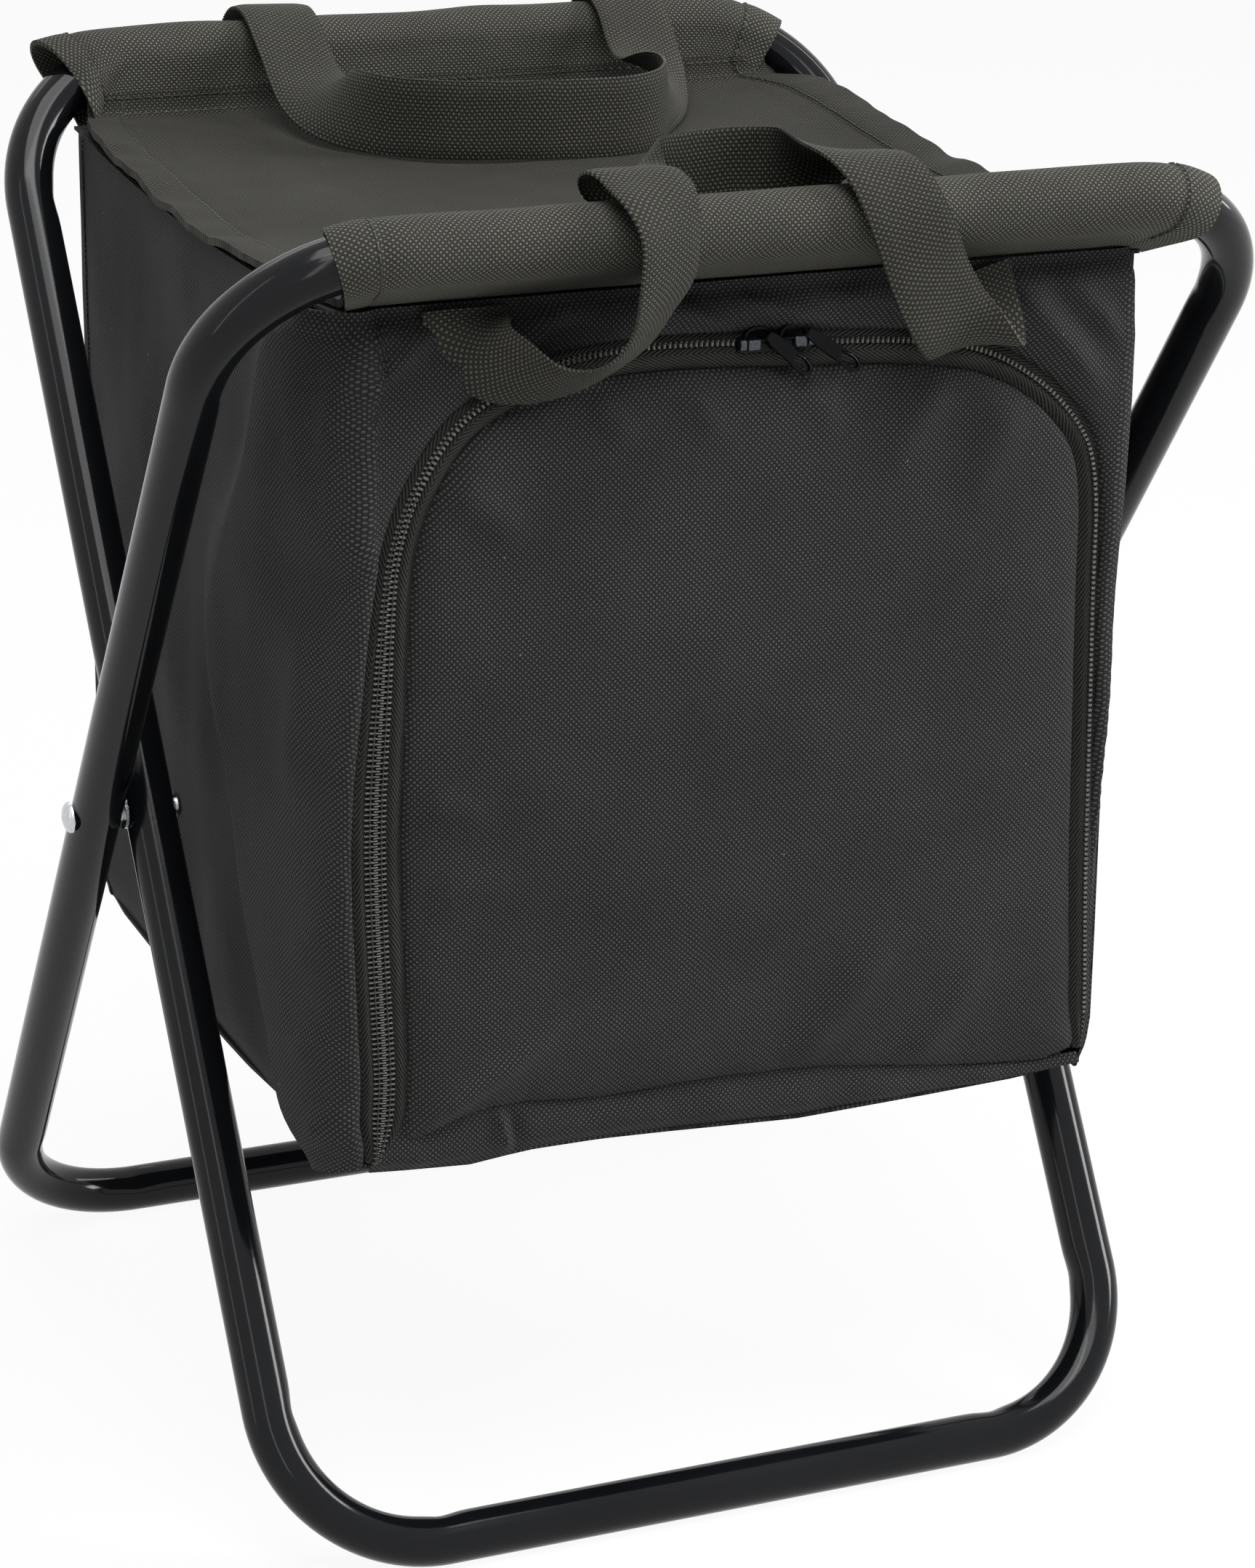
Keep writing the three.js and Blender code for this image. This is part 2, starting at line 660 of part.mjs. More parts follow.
// The bridge on the slider's front plate that the pull hangs from
function crownLoop() {
  const half = crownLength / 2;
  const inner = half - crownBar;
  const arch = new THREE.Shape();
  arch.moveTo(-half, -sliderPlateThickness / 2);
  arch.lineTo(-half, crownHeight - crownBar);
  arch.quadraticCurveTo(-half, crownHeight, -inner, crownHeight);
  arch.lineTo(inner, crownHeight);
  arch.quadraticCurveTo(half, crownHeight, half, crownHeight - crownBar);
  arch.lineTo(half, -sliderPlateThickness / 2);
  arch.closePath();
  const eye = new THREE.Path();
  eye.moveTo(-inner, 0);
  eye.lineTo(inner, 0);
  eye.lineTo(inner, crownHeight - crownBar);
  eye.lineTo(-inner, crownHeight - crownBar);
  eye.closePath();
  arch.holes.push(eye);
  const loop = new THREE.ExtrudeGeometry(arch, {
    depth: crownWidth, bevelEnabled: false, curveSegments: headSteps,
  });
  loop.rotateX(Math.PI);
  loop.translate(0, -sliderFrontBack - sliderPlateThickness, crownWidth / 2);
  return loop;
}

// A pull hangs from the middle of its eye bar, at the origin, and points to +X
function zipPull() {
  const eyeHalf = pullEyeWidth / 2;
  const tipHalf = pullTipWidth / 2;
  const tip = pullLength - tipHalf;
  const outline = new THREE.Shape();
  outline.moveTo(-pullEyeBar / 2, -eyeHalf);
  outline.lineTo(pullEyeLength, -eyeHalf);
  outline.lineTo(pullEyeLength + pullBorder, -pullNeckWidth / 2);
  outline.lineTo(tip - pullHoleLength, -tipHalf);
  outline.lineTo(tip, -tipHalf);
  outline.absarc(tip, 0, tipHalf, -Math.PI / 2, Math.PI / 2, false);
  outline.lineTo(tip - pullHoleLength, tipHalf);
  outline.lineTo(pullEyeLength + pullBorder, pullNeckWidth / 2);
  outline.lineTo(pullEyeLength, eyeHalf);
  outline.lineTo(-pullEyeBar / 2, eyeHalf);
  outline.closePath();
  const eye = new THREE.Path();
  eye.moveTo(pullEyeBar / 2, -eyeHalf + pullEyeBar);
  eye.lineTo(pullEyeLength - pullEyeBar, -eyeHalf + pullEyeBar);
  eye.lineTo(pullEyeLength - pullEyeBar, eyeHalf - pullEyeBar);
  eye.lineTo(pullEyeBar / 2, eyeHalf - pullEyeBar);
  eye.closePath();
  const hole = new THREE.Path();
  const holeHalf = pullHoleWidth / 2;
  hole.absarc(tip, 0, holeHalf, Math.PI / 2, -Math.PI / 2, true);
  hole.absarc(tip - pullHoleLength + holeHalf, 0, holeHalf, -Math.PI / 2, -1.5 * Math.PI, true);
  outline.holes.push(eye, hole);
  return frontPlate(outline, pullThickness / 2, pullThickness, pullSteps);
}

// Webbing handles. A route lists, for points along the strap: how far along its span,
// how far outwards from the top tube's middle and how far above it, both against the
// sleeve's radius, and the way the strap's face points, in the same three directions

const frontHandleRouteShares = [
  [-0.56, -0.96, -2.5, 0, -1, 0],
  [-0.56, -0.72, -3.4, 0, -1, -0.3],
  [-0.52, 0.1, -4.2, -0.3, -0.4, -0.85],
  [-0.45, 0.7, -4.4, 0, 0.2, -1],
  [-0.34, 1, -3.9, 0.1, 0.7, -0.7],
  [-0.26, 1.4, -2.7, 0.1, 0.95, -0.2],
  [-0.22, 1.6, -1.1, 0, 1, 0],
  [-0.22, 1.4, 0.5, 0, 0.95, 0.35],
  [-0.25, 0.7, 1.45, 0, 0.45, 0.9],
  [-0.27, -0.5, 1.75, 0, -0.25, 0.97],
  [-0.25, -1.7, 1.3, 0, -0.8, 0.6],
  [-0.14, -2.8, 0.9, -0.2, -0.97, 0.1],
  [0, -3.1, 0.9, 0, -1, 0],
  [0.12, -2.6, 1, 0.2, -0.95, 0.15],
  [0.19, -1.6, 1.5, 0.1, -0.7, 0.7],
  [0.23, -0.4, 1.75, 0, -0.2, 0.98],
  [0.27, 0.9, 1.3, 0, 0.6, 0.8],
  [0.31, 1.5, -0.1, 0, 1, 0],
  [0.34, 1.5, -1.8, 0, 1, -0.1],
  [0.38, 1.2, -3.1, 0, 0.9, -0.4],
  [0.43, 0.5, -3.75, 0, 0.2, -1],
  [0.46, -0.3, -3.5, 0, -0.7, -0.7],
  [0.47, -0.9, -2.8, 0, -1, 0],
  [0.47, -0.96, -2.5, 0, -1, 0],
];

const rearHandleRouteShares = [
  [-0.5, -0.94, -3.1, 0, 1, 0],
  [-0.5, -0.7, -2.35, 0, 0.8, -0.6],
  [-0.5, 0.4, -1.65, 0, 0.6, -0.8],
  [-0.5, 1.3, -0.85, 0, 0.85, -0.5],
  [-0.5, 1.94, 0.2, 0, 1, 0.1],
  [-0.5, 1, 1.15, 0, 0.6, 0.8],
  [-0.5, -0.2, 1.34, 0, -0.15, 1],
  [-0.5, -1.4, 0.85, 0, -0.5, 0.85],
  [-0.5, -2.7, 0, 0, -0.5, 0.87],
  [-0.5, -4.3, -0.6, -0.3, -0.4, 0.85],
  [-0.49, -6.2, -0.7, -0.85, -0.1, 0.5],
  [-0.43, -7.8, -0.76, -1, -0.2, 0.1],
  [-0.29, -9, -0.82, -0.5, -0.85, 0],
  [-0.1, -9.7, -0.84, -0.1, -1, 0],
  [0.1, -10.1, -0.84, 0, -1, 0],
  [0.24, -9.9, -0.84, 0.2, -1, 0],
  [0.33, -9.1, -0.82, 0.8, -0.6, 0],
  [0.39, -7.8, -0.76, 1, -0.2, 0.1],
  [0.44, -6.2, -0.7, 0.85, -0.1, 0.5],
  [0.47, -4.3, -0.6, 0.3, -0.4, 0.85],
  [0.49, -2.7, 0, 0, -0.5, 0.87],
  [0.5, -1.4, 0.85, 0, -0.5, 0.85],
  [0.5, -0.2, 1.34, 0, -0.15, 1],
  [0.5, 0.78, 1.1, 0, 0.6, 0.8],
  [0.5, 1.32, 0.2, 0, 1, 0.1],
  [0.5, 1.15, -0.85, 0, 0.85, -0.5],
  [0.5, 0.4, -1.65, 0, 0.6, -0.8],
  [0.5, -0.7, -2.35, 0, 0.8, -0.6],
  [0.5, -0.94, -3.1, 0, 1, 0],
];

function strap(routeShares, span, shift, outwards) {
  const route = new THREE.CatmullRomCurve3(routeShares.map(([along, out, up]) => new THREE.Vector3(
    shift + along * span,
    outwards * (topTubeReach + out * sleeveRadius),
    topTubeHeight + up * sleeveRadius,
  )), false, 'centripetal');
  const facings = new THREE.CatmullRomCurve3(routeShares.map(
    ([, , , along, out, up]) => new THREE.Vector3(along, outwards * out, up),
  ), false, 'centripetal');
  const rings = [];
  for (let i = 0; i <= webbingSteps; i += 1) {
    const share = i / webbingSteps;
    const along = route.getTangent(share);
    const across = facings.getPoint(share).cross(along).normalize();
    const through = along.clone().cross(across);
    const corner = (a, b) => route.getPoint(share)
      .addScaledVector(across, a * webbingWidth / 2)
      .addScaledVector(through, b * webbingThickness / 2);
    rings.push([corner(-1, -1), corner(1, -1), corner(1, 1), corner(-1, 1)]);
  }
  return skin(rings, false);
}

// The object

const stool = new THREE.Group();

const outerFrame = new THREE.Group();
outerFrame.position.z = pivotHeight;
outerFrame.rotation.x = openAngle;
outerFrame.add(piece('outer_frame_tube', frameTube(outerHalfWidth, openAngle), finishes.enamel));
outerFrame.add(piece('front_sleeve', sleeve(outerHalfWidth, frontSleeveBend), finishes.polyester));
stool.add(outerFrame);

const innerFrame = new THREE.Group();
innerFrame.position.z = pivotHeight;
innerFrame.rotation.x = -openAngle;
innerFrame.add(piece('inner_frame_tube', frameTube(innerHalfWidth, -openAngle), finishes.enamel));
innerFrame.add(piece('rear_sleeve', sleeve(innerHalfWidth, rearSleeveBend), finishes.polyester));
stool.add(innerFrame);

const pivots = new THREE.Group();
pivots.position.z = pivotHeight;
for (const [name, side] of [['left', -1], ['right', 1]]) {
  pivots.add(piece(`${name}_pivot_rivet`, pivotRivet(side), finishes.zinc));
  pivots.add(piece(`${name}_pivot_washer`, pivotWasher(side), finishes.zinc));
}
stool.add(pivots);

stool.add(piece('seat_panel', seatPanel(), finishes.polyester));
stool.add(piece('front_handle', strap(frontHandleRouteShares, frontHandleSpan, 0, -1), finishes.webbing));
stool.add(piece('rear_handle', strap(rearHandleRouteShares, rearHandleSpan, rearHandleShift, 1), finishes.webbing));

const bag = new THREE.Group();
bag.add(piece('bag_left_panel', sidePanel(-1), finishes.polyester));
bag.add(piece('bag_right_panel', sidePanel(1), finishes.polyester));
bag.add(piece('bag_back_panel', endPanel(1, bagRearCorner), finishes.polyester));
bag.add(piece('bag_front_surround', frontSurround(), finishes.polyester));
bag.add(piece('bag_bottom_panel', bottomPanel(), finishes.polyester));
bag.add(piece('bag_top_panel', topPanel(), finishes.polyester));
bag.add(piece('bag_lining', lining(), finishes.foil));
bag.add(piece('bag_zip_tape', bagZipHalf(coilMeshGap / 2, bagTapeReach, -flapTapeReach, tapeBack, tapeThickness),
  finishes.zipTape));
bag.add(piece('bag_zip_coil', bagZipHalf(coilMeshGap / 2, coilHalf, -coilHalf, coilBack, coilHeight),
  finishes.zipCoil));
stool.add(bag);

const flap = new THREE.Group();
flap.add(piece('flap_panel', flapPanel(), finishes.polyester));
flap.add(piece('flap_lining', flapLining(), finishes.foil));
flap.add(piece('flap_zip_tape', flapZipHalf(-flapTapeReach, -coilMeshGap / 2, tapeBack, tapeThickness),
  finishes.zipTape));
flap.add(piece('flap_zip_coil', flapZipHalf(-coilHalf, -coilMeshGap / 2, coilBack, coilHeight),
  finishes.zipCoil));
stool.add(flap);

for (const [name, side] of [['left', -1], ['right', 1]]) {
  const slider = new THREE.Group();
  slider.position.set(sliderMiddle + side * sliderSpacing / 2, -bagHalfDepth, zipTopHeight);
  const body = piece(`${name}_zip_slider`, zipSlider(), finishes.blackMetal);
  if (side > 0) body.rotation.y = Math.PI;
  const pull = piece(`${name}_zip_pull`, zipPull(), finishes.blackMetal);
  pull.position.set(pullPivot, -pullStandOff, 0);
  pull.rotation.y = pullDroop;
  slider.add(body, pull);
  stool.add(slider);
}

export default stool;
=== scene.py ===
# %% [markdown]
# # A folding cooler stool
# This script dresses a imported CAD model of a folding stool: two crossed loops of steel tube,
# a cloth seat, two webbing handles and a zipped cooler bag under the seat. The CAD part gives
# every place and size. Blender adds what solids can't show: cloth that rolls, sags and
# creases, thread, coil teeth and finishes.

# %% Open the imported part
import json
import math

import bmesh
import bpy
import numpy as np
from mathutils import Matrix, Vector, noise
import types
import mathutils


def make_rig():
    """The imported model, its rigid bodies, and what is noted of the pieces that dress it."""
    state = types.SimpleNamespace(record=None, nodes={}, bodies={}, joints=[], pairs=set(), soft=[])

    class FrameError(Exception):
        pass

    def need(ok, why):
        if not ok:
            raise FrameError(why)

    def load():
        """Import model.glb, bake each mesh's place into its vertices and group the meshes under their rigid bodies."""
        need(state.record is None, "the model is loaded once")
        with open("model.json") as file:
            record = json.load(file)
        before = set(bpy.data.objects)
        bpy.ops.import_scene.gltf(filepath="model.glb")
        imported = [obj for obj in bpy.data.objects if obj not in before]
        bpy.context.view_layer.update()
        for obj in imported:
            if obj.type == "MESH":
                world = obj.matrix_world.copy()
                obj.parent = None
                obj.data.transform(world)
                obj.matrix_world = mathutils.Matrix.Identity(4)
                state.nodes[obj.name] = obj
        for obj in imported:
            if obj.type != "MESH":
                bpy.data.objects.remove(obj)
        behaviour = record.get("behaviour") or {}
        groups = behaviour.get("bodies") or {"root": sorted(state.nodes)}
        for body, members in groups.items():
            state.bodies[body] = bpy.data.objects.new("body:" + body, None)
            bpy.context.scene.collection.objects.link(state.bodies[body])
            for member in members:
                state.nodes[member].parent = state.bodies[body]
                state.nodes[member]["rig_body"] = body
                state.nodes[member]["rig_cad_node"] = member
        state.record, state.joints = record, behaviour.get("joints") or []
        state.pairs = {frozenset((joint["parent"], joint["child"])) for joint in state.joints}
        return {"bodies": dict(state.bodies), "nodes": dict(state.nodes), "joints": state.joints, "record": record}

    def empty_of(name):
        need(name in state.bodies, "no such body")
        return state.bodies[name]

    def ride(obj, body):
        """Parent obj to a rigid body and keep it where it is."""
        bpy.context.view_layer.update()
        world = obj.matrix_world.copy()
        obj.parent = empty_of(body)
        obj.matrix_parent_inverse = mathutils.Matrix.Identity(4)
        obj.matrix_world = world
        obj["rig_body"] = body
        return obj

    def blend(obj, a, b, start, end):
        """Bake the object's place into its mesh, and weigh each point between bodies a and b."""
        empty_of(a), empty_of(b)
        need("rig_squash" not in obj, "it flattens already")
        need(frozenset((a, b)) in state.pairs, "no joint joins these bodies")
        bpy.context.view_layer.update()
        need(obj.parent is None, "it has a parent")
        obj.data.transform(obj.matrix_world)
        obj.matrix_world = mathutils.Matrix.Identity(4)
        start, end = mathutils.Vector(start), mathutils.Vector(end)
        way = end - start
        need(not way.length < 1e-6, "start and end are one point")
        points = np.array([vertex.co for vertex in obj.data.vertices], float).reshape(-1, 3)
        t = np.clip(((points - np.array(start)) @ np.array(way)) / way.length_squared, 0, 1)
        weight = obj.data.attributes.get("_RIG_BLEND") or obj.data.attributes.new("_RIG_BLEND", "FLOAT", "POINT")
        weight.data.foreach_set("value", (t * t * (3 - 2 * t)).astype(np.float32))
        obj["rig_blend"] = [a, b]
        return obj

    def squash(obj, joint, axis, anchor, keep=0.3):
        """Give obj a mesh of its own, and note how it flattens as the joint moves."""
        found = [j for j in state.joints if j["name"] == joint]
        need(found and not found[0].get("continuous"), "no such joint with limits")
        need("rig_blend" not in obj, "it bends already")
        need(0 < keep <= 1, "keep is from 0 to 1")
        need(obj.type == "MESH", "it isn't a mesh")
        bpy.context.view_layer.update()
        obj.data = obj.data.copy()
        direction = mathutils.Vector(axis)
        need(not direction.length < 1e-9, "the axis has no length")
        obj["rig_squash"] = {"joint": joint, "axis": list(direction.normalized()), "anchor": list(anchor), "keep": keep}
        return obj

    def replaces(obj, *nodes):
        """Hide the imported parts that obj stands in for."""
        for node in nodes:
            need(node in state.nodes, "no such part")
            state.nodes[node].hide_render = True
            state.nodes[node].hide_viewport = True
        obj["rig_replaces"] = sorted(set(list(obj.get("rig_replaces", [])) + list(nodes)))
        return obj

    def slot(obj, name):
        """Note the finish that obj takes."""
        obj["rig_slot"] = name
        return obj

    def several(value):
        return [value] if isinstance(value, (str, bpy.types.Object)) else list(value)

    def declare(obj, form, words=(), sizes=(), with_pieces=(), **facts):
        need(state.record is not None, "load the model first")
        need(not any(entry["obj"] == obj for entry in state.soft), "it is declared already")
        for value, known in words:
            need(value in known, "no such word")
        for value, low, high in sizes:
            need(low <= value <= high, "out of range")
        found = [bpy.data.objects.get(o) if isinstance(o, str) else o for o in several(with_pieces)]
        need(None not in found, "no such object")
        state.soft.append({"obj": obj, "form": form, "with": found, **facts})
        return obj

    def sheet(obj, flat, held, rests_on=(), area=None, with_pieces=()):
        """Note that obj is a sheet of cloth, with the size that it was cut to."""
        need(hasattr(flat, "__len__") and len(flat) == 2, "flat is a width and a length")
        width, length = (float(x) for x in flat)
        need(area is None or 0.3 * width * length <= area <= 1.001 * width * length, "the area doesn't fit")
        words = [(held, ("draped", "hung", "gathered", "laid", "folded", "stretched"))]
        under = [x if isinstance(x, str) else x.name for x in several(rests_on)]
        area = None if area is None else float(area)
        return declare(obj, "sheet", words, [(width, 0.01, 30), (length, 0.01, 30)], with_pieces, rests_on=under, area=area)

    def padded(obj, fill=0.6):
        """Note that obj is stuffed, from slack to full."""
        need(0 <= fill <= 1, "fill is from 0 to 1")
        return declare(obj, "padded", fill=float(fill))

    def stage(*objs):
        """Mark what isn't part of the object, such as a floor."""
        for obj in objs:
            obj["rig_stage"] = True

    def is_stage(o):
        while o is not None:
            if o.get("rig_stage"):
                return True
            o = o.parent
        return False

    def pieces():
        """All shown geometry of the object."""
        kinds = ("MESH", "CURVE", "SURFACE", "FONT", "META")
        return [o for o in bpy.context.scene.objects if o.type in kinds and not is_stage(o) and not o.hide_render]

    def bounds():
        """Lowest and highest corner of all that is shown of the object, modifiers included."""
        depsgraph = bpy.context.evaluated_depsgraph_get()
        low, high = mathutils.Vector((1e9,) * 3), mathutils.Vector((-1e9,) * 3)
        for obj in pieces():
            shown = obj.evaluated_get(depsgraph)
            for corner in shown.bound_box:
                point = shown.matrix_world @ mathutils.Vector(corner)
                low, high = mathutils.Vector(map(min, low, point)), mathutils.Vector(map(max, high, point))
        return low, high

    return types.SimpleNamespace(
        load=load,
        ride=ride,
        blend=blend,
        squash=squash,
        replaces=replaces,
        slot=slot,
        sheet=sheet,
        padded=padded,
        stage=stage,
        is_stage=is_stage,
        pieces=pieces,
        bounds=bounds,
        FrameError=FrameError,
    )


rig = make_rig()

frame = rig.load()
cad_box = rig.bounds()
MM = 0.001  # sizes below are in millimetres, Blender's are in metres
print("nodes", len(frame["nodes"]), "box", [[round(v / MM) for v in corner] for corner in cad_box])

# %% [markdown]
# ## Camera
# The stool is seen from the front left and from above, with a long lens. The place, the three
# turns and the lens were worked out from points whose real places are known, such as the ends
# of the tubes. The lens is shifted instead of tipped, as on a view camera, which is what the
# photograph's upright edges ask for.

# %% Camera
camera_place = Vector((-0.500127, -1.216181, 0.682969))
camera_yaw, camera_pitch, camera_roll = (math.radians(a) for a in (23.2408, 24.3566, 1.2491))
sensor_height = 36.0
camera_lens = 98.26
camera_rise = 0.1957  # shift, as a share of the picture's height

ahead = Vector((math.sin(camera_yaw) * math.cos(camera_pitch),
                math.cos(camera_yaw) * math.cos(camera_pitch), -math.sin(camera_pitch)))
level = Vector((math.cos(camera_yaw), -math.sin(camera_yaw), 0))
upwards = level.cross(ahead)
right = level * math.cos(camera_roll) + upwards * math.sin(camera_roll)
upwards = upwards * math.cos(camera_roll) - level * math.sin(camera_roll)
camera_data = bpy.data.cameras.new("camera")
camera_data.sensor_fit, camera_data.sensor_height = "VERTICAL", sensor_height
camera_data.lens, camera_data.shift_y = camera_lens, camera_rise
camera = bpy.data.objects.new("camera", camera_data)
turned_to = Matrix((right, upwards, -ahead)).transposed().to_4x4()
camera.matrix_world = Matrix.Translation(camera_place) @ turned_to
bpy.context.scene.collection.objects.link(camera)
bpy.context.scene.camera = camera
print("camera at", [round(v / MM) for v in camera_place], "lens", camera_lens)

# %% [markdown]
# ## Nodes and colours
# Colours are written as the sRGB hex values that a paint chart gives, and shaders work in
# linear light, so one function turns one into the other. One more function adds any node
# with its settings and its links, which keeps each material readable.

# %% Two helpers for materials
def linear(hex_colour):
    shares = [int(hex_colour[i:i + 2], 16) / 255 for i in (1, 3, 5)]
    return [s / 12.92 if s <= 0.04045 else ((s + 0.055) / 1.055) ** 2.4 for s in shares] + [1.0]


def add(tree, kind, inputs=(), **settings):
    """Adds a node. inputs gives sockets a value, or another node or its socket to link."""
    node = tree.nodes.new("ShaderNode" + kind)
    for key, value in settings.items():
        setattr(node, key, value)
    for key, value in dict(inputs).items():
        if isinstance(value, bpy.types.Node):
            value = value.outputs[0]
        if isinstance(value, bpy.types.NodeSocket):
            tree.links.new(value, node.inputs[key])
        else:
            node.inputs[key].default_value = value
    return node


def calc(tree, operation, *values, **settings):
    return add(tree, "Math", dict(enumerate(values)), operation=operation, **settings)


def between(tree, share, dark, light):
    """A colour from dark to light, each a hex value or a node's socket. Returns the socket."""
    ends = [linear(end) if isinstance(end, str) else end for end in (dark, light)]
    return add(tree, "Mix", {0: share, 6: ends[0], 7: ends[1]}, data_type="RGBA").outputs[2]


def finish(name, **sockets):
    """An empty material with one Principled shader."""
    material = bpy.data.materials.new(name)
    material.use_nodes = True
    tree = material.node_tree
    tree.nodes.clear()
    shader = add(tree, "BsdfPrincipled", {key.replace("_", " "): value for key, value in sockets.items()})
    add(tree, "OutputMaterial", {"Surface": shader.outputs[0]})
    return material, tree, shader


print("white is", [round(c, 3) for c in linear("#ffffff")])

# %% [markdown]
# ## Studio
# The stool stands on pale paper in a white room. Black things show a studio mostly as
# reflections, so long narrow boxes give the tubes their bands of light. Two wide boxes
# overhead make the tops brighter than the fronts, one on the right keeps the bag's left side
# dark, and the room fills the shadows a little.

# %% Room and floor
studio_white = linear("#ffffff")
room_white = linear("#f4f7fb")  # the walls send back a little more blue than the lamps do
room_level = 0.055
paper_size = 12.0
paper_glow = 0.93  # share of the paper that the camera sees as plain white


def seen_directly(tree):
    """1 for the rays that see the backdrop itself: the camera's, and those off gloss or through glass."""
    path = add(tree, "LightPath")
    seen = calc(tree, "ADD", path.outputs["Is Camera Ray"], path.outputs["Is Glossy Ray"])
    return calc(tree, "ADD", seen, path.outputs["Is Transmission Ray"], use_clamp=True)


world = bpy.data.worlds.new("studio")
bpy.context.scene.world = world
world.use_nodes = True
tree = world.node_tree
tree.nodes.clear()
seen = seen_directly(tree)
room = add(tree, "Background", {"Color": room_white, "Strength": room_level})
backdrop = add(tree, "Background", {"Color": studio_white, "Strength": 1.0})
both = add(tree, "MixShader", {0: seen, 1: room, 2: backdrop})
add(tree, "OutputWorld", {"Surface": both})

paper, tree, shader = finish("seamless_paper", Base_Color=linear("#f2f2f0"), Roughness=0.9)
glow = add(tree, "Emission", {"Color": studio_white, "Strength": 1.0})
share = calc(tree, "MULTIPLY", seen_directly(tree), paper_glow)
both = add(tree, "MixShader", {0: share, 1: shader, 2: glow})
tree.links.new(both.outputs[0], tree.nodes["Material Output"].inputs["Surface"])

floor_mesh = bpy.data.meshes.new("floor")
half = paper_size / 2
corners = [(-half, -half, 0), (half, -half, 0), (half, half, 0), (-half, half, 0)]
floor_mesh.from_pydata(corners, [], [(0, 1, 2, 3)])
floor_mesh.materials.append(paper)
floor = bpy.data.objects.new("floor", floor_mesh)
bpy.context.scene.collection.objects.link(floor)
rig.stage(floor)
print("paper", paper_size, "m wide")

# %% Soft boxes
aim = Vector((0, 0, 0.22))
boxes = {"overhead_box": ((-0.2, -0.55, 2.4), (1.7, 1.2), 36),  # place and size in metres, then watts
         "front_box": ((-0.2, -1.3, 2.2), (1.7, 0.8), 20), "right_box": ((1.9, -0.8, 1.2), (0.5, 1.5), 42),
         "key_box": ((-1.0, -1.9, 1.5), (0.2, 1.6), 4), "left_box": ((-1.9, -0.3, 1.0), (0.1, 1.7), 2),
         "rim_box": ((1.7, 0.3, 1.3), (0.14, 1.6), 7), "back_box": ((-0.3, 2.0, 1.9), (1.6, 0.5), 4)}
for name, (place, size, power) in boxes.items():
    lamp = bpy.data.lights.new(name, "AREA")
    lamp.shape = "RECTANGLE"
    lamp.size, lamp.size_y = size
    lamp.energy = power
    box = bpy.data.objects.new(name, lamp)
    box.location = place
    box.rotation_euler = (aim - Vector(place)).to_track_quat("-Z", "Y").to_euler()
    bpy.context.scene.collection.objects.link(box)
bpy.context.scene.view_settings.view_transform = "Standard"
print("lamps", [o.name for o in bpy.data.objects if o.type == "LIGHT"])

# %% [markdown]
# ## Enamelled tube
# The frame is welded steel tube, dipped or sprayed and stoved: a thick gloss black enamel.
# A clear, slightly wavy film over black mirrors the room in long bands, so the colour is
# almost nothing and the look is all in a low roughness and a very fine orange peel.

# %% Enamel, zinc, lacquer and nylon
def clouded(name, scale, detail, colours, rough=None, upto=0.7, **sockets):
    """A hard finish whose colour, and roughness where rough gives two, drift in soft clouds."""
    material, tree, shader = finish(name, **sockets)
    place = add(tree, "TexCoord")
    clouds = add(tree, "TexNoise", {"Vector": place.outputs["Object"], "Scale": scale, "Detail": detail})
    tree.links.new(between(tree, clouds, *colours), shader.inputs["Base Color"])
    if rough:
        haze = add(tree, "MapRange", {0: clouds, 1: 0.3, 2: upto, 3: rough[0], 4: rough[1]})
        tree.links.new(haze.outputs[0], shader.inputs["Roughness"])
    return material


enamel = clouded("stoved_black_enamel", 14, 3, ("#08090b", "#131417"), (0.08, 0.17), upto=0.75,
                 Roughness=0.1, Specular_IOR_Level=0.2)
tree = enamel.node_tree
peel_size = 2.2 * MM  # the waves of orange peel in a sprayed coat
place = add(tree, "TexCoord")
peel = add(tree, "TexNoise", {"Vector": place.outputs["Object"], "Scale": 1 / peel_size, "Detail": 1})
bump = add(tree, "Bump", {"Height": peel, "Strength": 0.1, "Distance": 0.1 * MM})
tree.links.new(bump.outputs[0], tree.nodes["Principled BSDF"].inputs["Normal"])
# Zinc plate over steel: bright, a little blue, with fine tumbling scratches from the barrel
zinc = clouded("bright_zinc_plate", 900, 4, ("#a9adb1", "#dadcdd"), (0.16, 0.34),
               Metallic=1.0, Roughness=0.25)
# Die-cast zinc alloy, lacquered black: smooth, and dull grey where the lacquer has rubbed off
lacquer = clouded("lacquered_zip_metal", 1500, 3, ("#060607", "#101113"), (0.12, 0.26),
                  Roughness=0.15, Specular_IOR_Level=0.1)
rubbed = clouded("rubbed_zinc_alloy", 1100, 4, ("#36393c", "#5d6165"), (0.28, 0.45),
                 Metallic=1.0, Roughness=0.35)
# Nylon monofilament: moulded smooth, so each tooth of the coil catches a glint. Its grey base colour is painted much
# lighter than the black nylon, a painted highlight that brightens every tooth.
nylon = clouded("nylon_coil", 700, 2, ("#3c3c3b", "#777775"), (0.18, 0.35),
                Roughness=0.25, Specular_IOR_Level=0.5)
# Bonded polyester thread: its twisted strands show as a fine streak
thread = clouded("bonded_polyester_thread", 1800, 2, ("#0e0e0e", "#2b2b29"),
                 Base_Color=linear("#1b1b1a"), Roughness=0.5)
print("hard finishes", enamel.name, zinc.name, lacquer.name, nylon.name)
